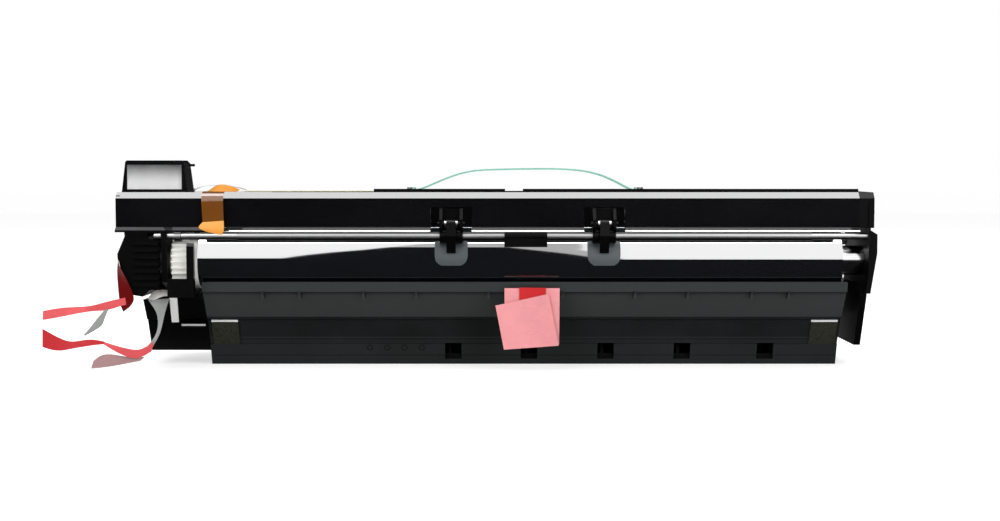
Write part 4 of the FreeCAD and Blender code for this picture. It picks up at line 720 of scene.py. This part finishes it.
def card(name, finish, *corners):
    """A four-cornered card through points in metres, in the order of a plane's corners."""
    bpy.ops.mesh.primitive_plane_add(size=2, location=(0, 0, 0))
    board = bpy.context.object
    board.name = name
    for corner, place in zip(board.data.vertices, corners):
        corner.co = place
    board.data.materials.append(finish)
    show_to_reflections_only(board)


bright = glow("bright_card", 1.95)
pale = glow("pale_card", 0.9)
overhead = glow("overhead_card", 4.6)
black_cloth = glow("black_cloth", 0.012)
backdrop_card = glow("backdrop_card", 1.0)
print("cards and cloth are ready")

# %% Cards in front and on the ceiling
OUTER = 1.4
FRONT = -1.0
SEAM = -0.255
BACK = 0.25
CEILING = 1.06
LEFT_LOW = 0.24
RIGHT_LOW = 0.165
card("left_card", bright, (-OUTER, FRONT, LEFT_LOW), (-0.242, FRONT, LEFT_LOW),
     (-OUTER, FRONT, CEILING), (-0.187, FRONT, CEILING))
card("right_card", bright, (0.144, FRONT, RIGHT_LOW), (OUTER, FRONT, RIGHT_LOW),
     (0.120, FRONT, CEILING), (OUTER, FRONT, CEILING))
card("right_wedge", pale, (0.110, FRONT, 0.34), (0.144, FRONT, 0.20),
     (0.053, FRONT, CEILING), (0.120, FRONT, CEILING))
card("left_ceiling", bright, (-OUTER, FRONT, CEILING), (-0.187, FRONT, CEILING),
     (-OUTER, SEAM, CEILING), (-0.076, SEAM, CEILING))
card("right_ceiling", bright, (0.120, FRONT, CEILING), (OUTER, FRONT, CEILING),
     (0.10, SEAM, CEILING), (OUTER, SEAM, CEILING))
card("wedge_ceiling", pale, (0.053, FRONT, CEILING), (0.120, FRONT, CEILING),
     (-0.023, SEAM, CEILING), (0.10, SEAM, CEILING))
card("overhead_card", overhead, (-OUTER, SEAM, CEILING), (OUTER, SEAM, CEILING),
     (-OUTER, BACK, CEILING), (OUTER, BACK, CEILING))
print("seven cards hung")

# %% [markdown]
# ## Flags and the backdrop
# A sheet of black cloth on the floor in front keeps the white floor out of the foot of the drum, and
# a black surround keeps the white room out of every other reflection. Far behind the unit stand two
# white cards, left and right, for the surfaces that are seen at a glancing angle.

# %% Flags
CLOTH_HEIGHT = 0.001
CLOTH_SIDE = 2.0
CLOTH_FRONT = -2.9
CLOTH_BACK = -0.036
card("front_floor_flag", black_cloth,
     (-CLOTH_SIDE, CLOTH_FRONT, CLOTH_HEIGHT), (CLOTH_SIDE, CLOTH_FRONT, CLOTH_HEIGHT),
     (-CLOTH_SIDE, CLOTH_BACK, CLOTH_HEIGHT), (CLOTH_SIDE, CLOTH_BACK, CLOTH_HEIGHT))
bpy.ops.mesh.primitive_cylinder_add(vertices=96, radius=3.0, depth=5.0, end_fill_type="NOTHING",
                                    location=(0, 0, 2.5))
surround = bpy.context.object
surround.name = "black_surround"
surround.data.materials.append(black_cloth)
show_to_reflections_only(surround)
BACKDROP_DEPTH = 1.8
BACKDROP_TOP = 0.34
for side, name in ((-1, "left_back_card"), (1, "right_back_card")):
    near, far = sorted((side * 0.38, side * 2.4))
    card(name, backdrop_card, (near, BACKDROP_DEPTH, 0.0), (far, BACKDROP_DEPTH, 0.0),
         (near, BACKDROP_DEPTH, BACKDROP_TOP), (far, BACKDROP_DEPTH, BACKDROP_TOP))
print("cloth and backdrop hung")

# %% [markdown]
# ## Tapes and tags
# Each tape is drawn as rungs of a ladder: pairs of points across its width, one pair after
# another along its length. A plane starts the first two rungs, its far edge is extruded to the
# next rung, and the two corners are pulled into place. Cloth simulation could drape it, but where
# each tape lies is known from the photograph. Subdivision then makes the bends smooth and Solidify
# gives the film its thickness.

# %% Helpers that pull corners


def select_only(piece):
    bpy.ops.object.select_all(action="DESELECT")
    piece.select_set(True)
    bpy.context.view_layer.objects.active = piece


def corners_at(piece, places):
    """Selects only the corners that lie at these places, in edit mode."""
    bpy.ops.mesh.select_mode(type="VERT")
    bpy.ops.mesh.select_all(action="DESELECT")
    bpy.ops.object.mode_set(mode="OBJECT")
    for corner in piece.data.vertices:
        corner.select = any((corner.co - place).length < 1e-6 for place in places)
    bpy.ops.object.mode_set(mode="EDIT")


def pull_corner(piece, start, end):
    corners_at(piece, [start])
    bpy.ops.transform.translate(value=end - start)


def finish_sheet(piece, thickness):
    """Smooths the bends and gives the sheet its thickness."""
    bend = piece.modifiers.new("smooth", "SUBSURF")
    bend.levels = 2
    bend.render_levels = 2
    bend.boundary_smooth = "PRESERVE_CORNERS"
    wall = piece.modifiers.new("thickness", "SOLIDIFY")
    wall.thickness = thickness
    wall.offset = 0.0
    for modifier in (bend.name, wall.name):
        bpy.ops.object.modifier_apply(modifier=modifier)
    bpy.ops.object.shade_smooth_by_angle(angle=math.radians(50))


print("corners can be pulled")

# %% A sheet from rungs
STARTER = 0.02


def sheet(name, rungs, thickness, finish, body, slot, *nodes):
    """A thin sheet through rungs, each a pair of points in millimetres."""
    rungs = [(Vector(mm(*left)), Vector(mm(*right))) for left, right in rungs]
    bpy.ops.mesh.primitive_plane_add(size=STARTER, location=(0, 0, 0))
    piece = bpy.context.object
    piece.name = name
    select_only(piece)
    bpy.ops.object.mode_set(mode="EDIT")
    ends = (-STARTER / 2, STARTER / 2)
    starter_corners = [Vector((x, y, 0)) for y in ends for x in ends]
    for start, end in zip(starter_corners, (*rungs[0], *rungs[1])):
        pull_corner(piece, start, end)
    for before, after in zip(rungs[1:], rungs[2:]):
        corners_at(piece, before)
        step = (after[0] + after[1] - before[0] - before[1]) / 2
        bpy.ops.mesh.extrude_region_move(TRANSFORM_OT_translate={"value": step})
        pull_corner(piece, before[0] + step, after[0])
        pull_corner(piece, before[1] + step, after[1])
    bpy.ops.object.mode_set(mode="OBJECT")
    piece.data.materials.append(finish)
    finish_sheet(piece, thickness * MM)
    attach(piece, body)
    if nodes:
        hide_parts(*nodes)
    low = [round(min(corner.co[axis] for corner in piece.data.vertices) / MM, 1) for axis in range(3)]
    high = [round(max(corner.co[axis] for corner in piece.data.vertices) / MM, 1) for axis in range(3)]
    print(name, "from", low, "to", high, "mm")


print("a starter plane is", STARTER / MM, "mm wide")

# %% [markdown]
# ## The amber tape
# A strip of clear amber film holds the upper case down for shipping. It runs over the front edge,
# and at the bottom its loose end has curled forward and to the left, where light shines through
# it. On top of the case the other end stands up like a small tent. One long ladder could make all
# three, but the ends glow and the strip doesn't, so each is a piece with its own finish.

# %% Amber strip
TAPE_THICKNESS = 0.12
AMBER_LEFT = -156.6
AMBER_RIGHT = -145
CASE_FRONT = -62.75
TAPE_LEVEL = 96.75
sheet("amber_strip", [
    ((AMBER_LEFT, -44, TAPE_LEVEL), (AMBER_RIGHT, -44, TAPE_LEVEL)),
    ((AMBER_LEFT, -57.5, TAPE_LEVEL), (AMBER_RIGHT, -57.5, TAPE_LEVEL)),
    ((AMBER_LEFT, -59.8, 96.3), (AMBER_RIGHT, -59.8, 96.3)),
    ((AMBER_LEFT, -62.5, 93.6), (AMBER_RIGHT, -62.5, 93.6)),
    ((AMBER_LEFT, CASE_FRONT, 91.5), (AMBER_RIGHT, CASE_FRONT, 91.5)),
    ((-156.2, CASE_FRONT, 85), (-144.9, CASE_FRONT, 85.2)),
    ((-156.0, CASE_FRONT, 80.2), (-144.7, CASE_FRONT - 0.1, 81.0)),
], TAPE_THICKNESS, amber_film, "housing", "amber_film", "amber_tape")

# %% Its loose ends
sheet("amber_curl", [
    ((-156.0, CASE_FRONT - 0.1, 80.4), (-144.7, CASE_FRONT - 0.15, 81.2)),
    ((-157.2, CASE_FRONT - 0.7, 79.0), (-144.6, CASE_FRONT - 0.6, 79.4)),
    ((-158.6, CASE_FRONT - 1.2, 77.6), (-144.4, CASE_FRONT - 1.0, 77.2)),
    ((-155.2, CASE_FRONT - 1.3, 75.9), (-144.8, CASE_FRONT - 1.2, 75.0)),
    ((-152.6, CASE_FRONT - 0.6, 75.0), (-145.6, CASE_FRONT - 0.9, 73.6)),
], TAPE_THICKNESS, bright_amber, "housing", "amber_film")
sheet("amber_tent", [
    ((-156.0, -55.4, 96.6), (-155.6, -46, 96.9)),
    ((-153.4, -55.8, 96.6), (-152.8, -47, 98.9)),
    ((-150.4, -56, 96.6), (-149.8, -48, 100.6)),
    ((-146.0, -56, 96.6), (-145.0, -48, 100.1)),
    ((-141.6, -55.8, 96.6), (-141.0, -48, 98.9)),
    ((-138.6, -55.2, 96.6), (-138.2, -49, 97.6)),
], TAPE_THICKNESS, bright_amber, "housing", "amber_film")

# %% [markdown]
# ## The clear film by the inlet
# A loose strip of clear film is trapped under the foot of the toner inlet. From the front only its
# edge is seen, as a thin grey line that rises and meets the amber tent. A curve with a bevel would
# draw the line, but from above it has to be a strip.

# %% Clear film
FILM_FRONT = -45
FILM_BACK = -37
sheet("inlet_film", [
    ((-164, FILM_FRONT, 97.4), (-164, FILM_BACK, 97.4)),
    ((-162, FILM_FRONT, 98.6), (-162, FILM_BACK, 98.7)),
    ((-158, FILM_FRONT, 99.6), (-158, FILM_BACK, 99.7)),
    ((-150, FILM_FRONT, 100.0), (-150, FILM_BACK, 100.1)),
    ((-143, FILM_FRONT, 99.4), (-143, FILM_BACK, 99.5)),
    ((-136, FILM_FRONT, 97.4), (-136, FILM_BACK, 97.4)),
], 0.2, clear_film, "housing", "clear_film", "clear_film")

# %% [markdown]
# ## The lifting strap
# A band of green film is screwed to the top of the case and stands up in a flat arch for a hand.
# Seen from the front it shows only its edge. Its rungs are the points of the arch, drawn once and
# used for the front and the back edge.

# %% Lifting strap
STRAP_FRONT = -28
STRAP_BACK = -18
STRAP_ARCH = [
    (-49.2, 97.0), (-45.5, 97.0), (-42.0, 97.3), (-36.5, 99.4), (-27, 103.7), (-17, 107.0),
    (-8, 108.3), (14, 108.7), (36, 109.0), (52, 107.6), (63, 104.0), (71, 99.6),
    (75.5, 97.3), (79, 97.0), (82.6, 97.0),
]
sheet("strap_band", [((x, STRAP_FRONT, z), (x, STRAP_BACK, z)) for x, z in STRAP_ARCH],
      0.9, green_band, "housing", "green_band", "lift_strap")

# %% [markdown]
# ## Tags
# Two square pink tags hang from a strip of red tape on the lower case. The front one has turned
# on its tape, and its lower edge has started to curl towards us. Flat squares would look printed
# on, so each has four rungs with a little bend.

# %% Tags
PAPER_THICKNESS = 0.2
sheet("rear_tag", [
    ((5.1, -58.2, 44.8), (34.8, -58.2, 44.8)),
    ((5.1, -58.5, 37), (34.7, -58.4, 37)),
    ((5.2, -58.7, 26), (34.6, -58.8, 26)),
    ((5.3, -58.8, 15.4), (34.5, -59.0, 14.6)),
], PAPER_THICKNESS, pink_paper, "housing", "pink_film", "tag_rear")
sheet("red_tag_tape", [
    ((13.0, -58.9, 45.2), (27.4, -58.9, 45.0)),
    ((13.2, -58.9, 42), (27.2, -58.9, 42)),
    ((12.9, -59.0, 37.6), (27.5, -59.0, 38.6)),
], 0.15, tag_red, "housing", "red_film", "tag_tape")
sheet("front_tag", [
    ((0.2, -59.5, 35.5), (28.8, -59.4, 41.8)),
    ((1.6, -59.9, 28.5), (30.2, -59.7, 34.6)),
    ((3.2, -60.5, 20), (32.2, -60.2, 24.6)),
    ((4.8, -61.1, 11.9), (34.2, -60.7, 14.0)),
], PAPER_THICKNESS, pink_paper, "housing", "pink_film", "tag_front")

# %% [markdown]
# ## The tapes on the left
# Red film is stuck down the side of the drive cover, and part of its dark colour is painted shade.
# Two long pull tapes come out from under the gears: the upper one is pink with a grey backing, the
# lower one leaves as grey film, twists, and goes on as pink and then red where its other face turns
# to us. One mesh with a colour for each face would need two materials, so each stretch between twists
# is a sheet of its own.

# %% Side tape
# The side tape's dark red is partly painted shade.
sheet("red_side_tape", [
    ((-203.8, -50, 62), (-203.0, -57, 62)),
    ((-204.2, -52, 57.5), (-202.2, -58.6, 57.0)),
    ((-204.3, -53, 52), (-198.4, -58.9, 51)),
    ((-203.4, -54, 42.6), (-194.8, -59.1, 43)),
    ((-202.6, -55, 36), (-193.4, -58.9, 38.2)),
    ((-200.6, -55.5, 31.8), (-196.8, -58.6, 34.4)),
], 0.2, red_film, "housing", "red_film", "side_tape")

# %% Upper pull tape
PULL_THICKNESS = 0.15
sheet("upper_pull_tape", [
    ((-196.6, -55.8, 40.0), (-196.4, -56.2, 36.2)),
    ((-202.5, -57.2, 39.0), (-201.7, -57.6, 35.2)),
    ((-209.7, -58.6, 37.3), (-208.1, -59.2, 32.7)),
    ((-215.1, -59.4, 35.7), (-214.5, -58.4, 32.6)),
    ((-221.5, -58.6, 34.6), (-221.3, -60.2, 32.0)),
    ((-231.7, -60.0, 34.8), (-233.3, -61.4, 29.4)),
    ((-242.5, -60.6, 32.7), (-242.5, -61.6, 27.9)),
], PULL_THICKNESS, hot_pink, "housing", "pink_film", "pull_tape_upper")
sheet("upper_tape_backing", [
    ((-209.9, -59.3, 33.2), (-207.6, -59.2, 33.6)),
    ((-212.0, -59.6, 30.6), (-209.8, -59.4, 29.0)),
    ((-214.8, -60.2, 27.2), (-210.6, -59.8, 25.2)),
    ((-217.6, -60.4, 23.4), (-213.0, -60.0, 23.2)),
    ((-220.8, -60.6, 19.9), (-220.2, -60.4, 19.3)),
], PULL_THICKNESS, grey_film, "housing", "pink_film")

# %% Lower pull tape, near the gears
sheet("lower_tape_film", [
    ((-188.2, -50.9, 37.8), (-176.4, -51.6, 38.6)),
    ((-183.2, -54.0, 32.4), (-176.6, -55.0, 36.6)),
    ((-181.4, -57.0, 27.6), (-178.2, -57.6, 30.4)),
    ((-181.6, -58.4, 20.8), (-179.8, -58.6, 20.8)),
    ((-185.4, -59.0, 15.2), (-182.6, -59.0, 16.0)),
    ((-189.6, -59.6, 11.4), (-185.4, -59.2, 11.0)),
], PULL_THICKNESS, grey_film, "housing", "pink_film", "pull_tape_lower")

# %% Lower pull tape, beyond its twist
sheet("lower_tape_pink", [
    ((-183.6, -59.4, 16.0), (-184.8, -59.2, 10.8)),
    ((-190.6, -60.0, 11.2), (-192.0, -60.2, 6.2)),
    ((-196.0, -60.4, 12.0), (-199.0, -60.6, 8.2)),
    ((-203.2, -60.4, 13.8), (-205.4, -60.8, 11.6)),
    ((-209.8, -60.2, 15.9), (-210.4, -60.6, 14.8)),
], PULL_THICKNESS, hot_pink, "housing", "pink_film")
sheet("lower_tape_red", [
    ((-209.6, -60.2, 16.1), (-210.2, -60.6, 14.8)),
    ((-214.4, -60.6, 17.3), (-214.0, -61.2, 14.5)),
    ((-220.0, -61.0, 17.5), (-219.4, -61.6, 13.8)),
    ((-228.2, -60.4, 15.3), (-227.6, -61.6, 12.4)),
    ((-236.0, -60.8, 19.2), (-234.8, -61.8, 10.7)),
    ((-242.8, -61.2, 23.2), (-242.8, -61.8, 13.4)),
], PULL_THICKNESS, deep_red, "housing", "pink_film")
sheet("lower_tape_tail", [
    ((-188.4, -59.0, 7.8), (-191.0, -59.2, 5.6)),
    ((-195.6, -58.8, 7.2), (-196.4, -59.2, 4.6)),
    ((-203.0, -58.4, 8.6), (-204.0, -59.0, 3.0)),
    ((-211.4, -58.0, 9.8), (-211.8, -59.2, 1.9)),
    ((-216.6, -57.8, 5.4), (-217.6, -58.8, 1.4)),
], PULL_THICKNESS, dusty_pink, "housing", "pink_film")
sheet("white_film_fold", [
    ((-188.4, -49.5, 38.6), (-187.0, -51.2, 37.0)),
    ((-185.4, -49.4, 43.2), (-182.0, -51.6, 39.0)),
    ((-180.0, -49.4, 43.4), (-178.8, -52.0, 40.4)),
    ((-176.0, -49.4, 42.8), (-176.0, -52.2, 39.8)),
], PULL_THICKNESS, white_film, "housing", "pink_film")

# %% [markdown]
# ## The plain label
# The label is a yellow sheet with nothing printed on it, stuck to the top of the case. Its two ends
# lift by a fraction of a millimetre, which keeps it from looking painted on.

# %% Label
LABEL_FRONT = -35
LABEL_BACK = -17
LABEL_LEVEL = 96.5
sheet("plain_label", [
    ((-139, LABEL_FRONT + 0.2, LABEL_LEVEL + 0.15), (-139, LABEL_BACK - 0.2, LABEL_LEVEL + 0.15)),
    ((-137, LABEL_FRONT, LABEL_LEVEL), (-137, LABEL_BACK, LABEL_LEVEL)),
    ((-100, LABEL_FRONT, LABEL_LEVEL), (-100, LABEL_BACK, LABEL_LEVEL)),
    ((-64, LABEL_FRONT, LABEL_LEVEL), (-64, LABEL_BACK, LABEL_LEVEL)),
    ((-62, LABEL_FRONT + 0.2, LABEL_LEVEL + 0.2), (-62, LABEL_BACK - 0.2, LABEL_LEVEL + 0.2)),
], 0.15, label_paper, "housing", "label_paper", "caution_label")

# %% [markdown]
# ## Pads and the end seal
# Two pads of dark foam guide the paper at the ends of the lower case, and a bar of white foam seals
# the end of the drum. They are made like the tapes, only thicker: they too are cut from sheet.

# %% Pads
PAD_WIDTH = 14.5
for name, left, replaced in (("left_pad", -156, ["guide_pads"]), ("right_pad", 174, [])):
    right = left + PAD_WIDTH
    sheet(name, [
        ((left, -39.5, 25.9), (right, -39.5, 25.9)),
        ((left, -38.6, 24.4), (right, -38.6, 24.4)),
        ((left, -32.2, 13.2), (right, -32.2, 13.2)),
        ((left, -31.4, 11.8), (right, -31.4, 11.8)),
    ], 0.8, dark_foam, "housing", "dark_foam", *replaced)
sheet("foam_bar", [
    ((-176.3, -51.9, 40.2), (-172.3, -51.9, 40.2)),
    ((-176.3, -51.3, 38.0), (-172.3, -51.3, 38.0)),
    ((-177.1, -43.0, 26.4), (-173.3, -43.0, 26.4)),
    ((-177.1, -42.2, 25.2), (-173.3, -42.2, 25.2)),
], 1.2, foam, "housing", "foam", "end_foam")

# %% [markdown]
# ## Shields
# A shield of grey film hangs from each pawl bracket and curves round the drum, with its lower
# corners rounded so that they can't scratch it. Its rungs lie on an arc round the drum's axis: each
# has an angle and half a width, and the widths shrink at the end.

# %% Shields
DRUM_HEIGHT = 59.0
DRUM_DEPTH = -43.0
SHIELD_RADIUS = 15.6
SHIELD_OUTLINE = [(angle, 8.85) for angle in range(118, 169, 10)] + [(177, 8.5), (183, 7.4), (187.5, 5.4)]


def shield(name, node, middle):
    rungs = []
    for angle, half in SHIELD_OUTLINE:
        turn = math.radians(angle)
        y = DRUM_DEPTH + SHIELD_RADIUS * math.cos(turn)
        z = DRUM_HEIGHT + SHIELD_RADIUS * math.sin(turn)
        rungs.append(((middle - half, y, z), (middle + half, y, z)))
    sheet(name, rungs, 0.3, seal_film, "pawl_carriage", "seal_film", node)


shield("left_shield", "pawl_shield_1", -23.55)
shield("right_shield", "pawl_shield_2", 58.6)

# %% [markdown]
# ## What the drum mirrors
# The case, its rod and the amber tape hang right over the drum. Their mirror images would cut the
# white bands short, where the photograph shows them whole, so reflections pass these parts by.

# %% Clear the drum's mirror image
for name in ("pawl_shaft", "upper_case", "rod_clip", "amber_strip", "amber_curl"):
    bpy.data.objects[name].visible_glossy = False
print("the drum mirrors only the studio")
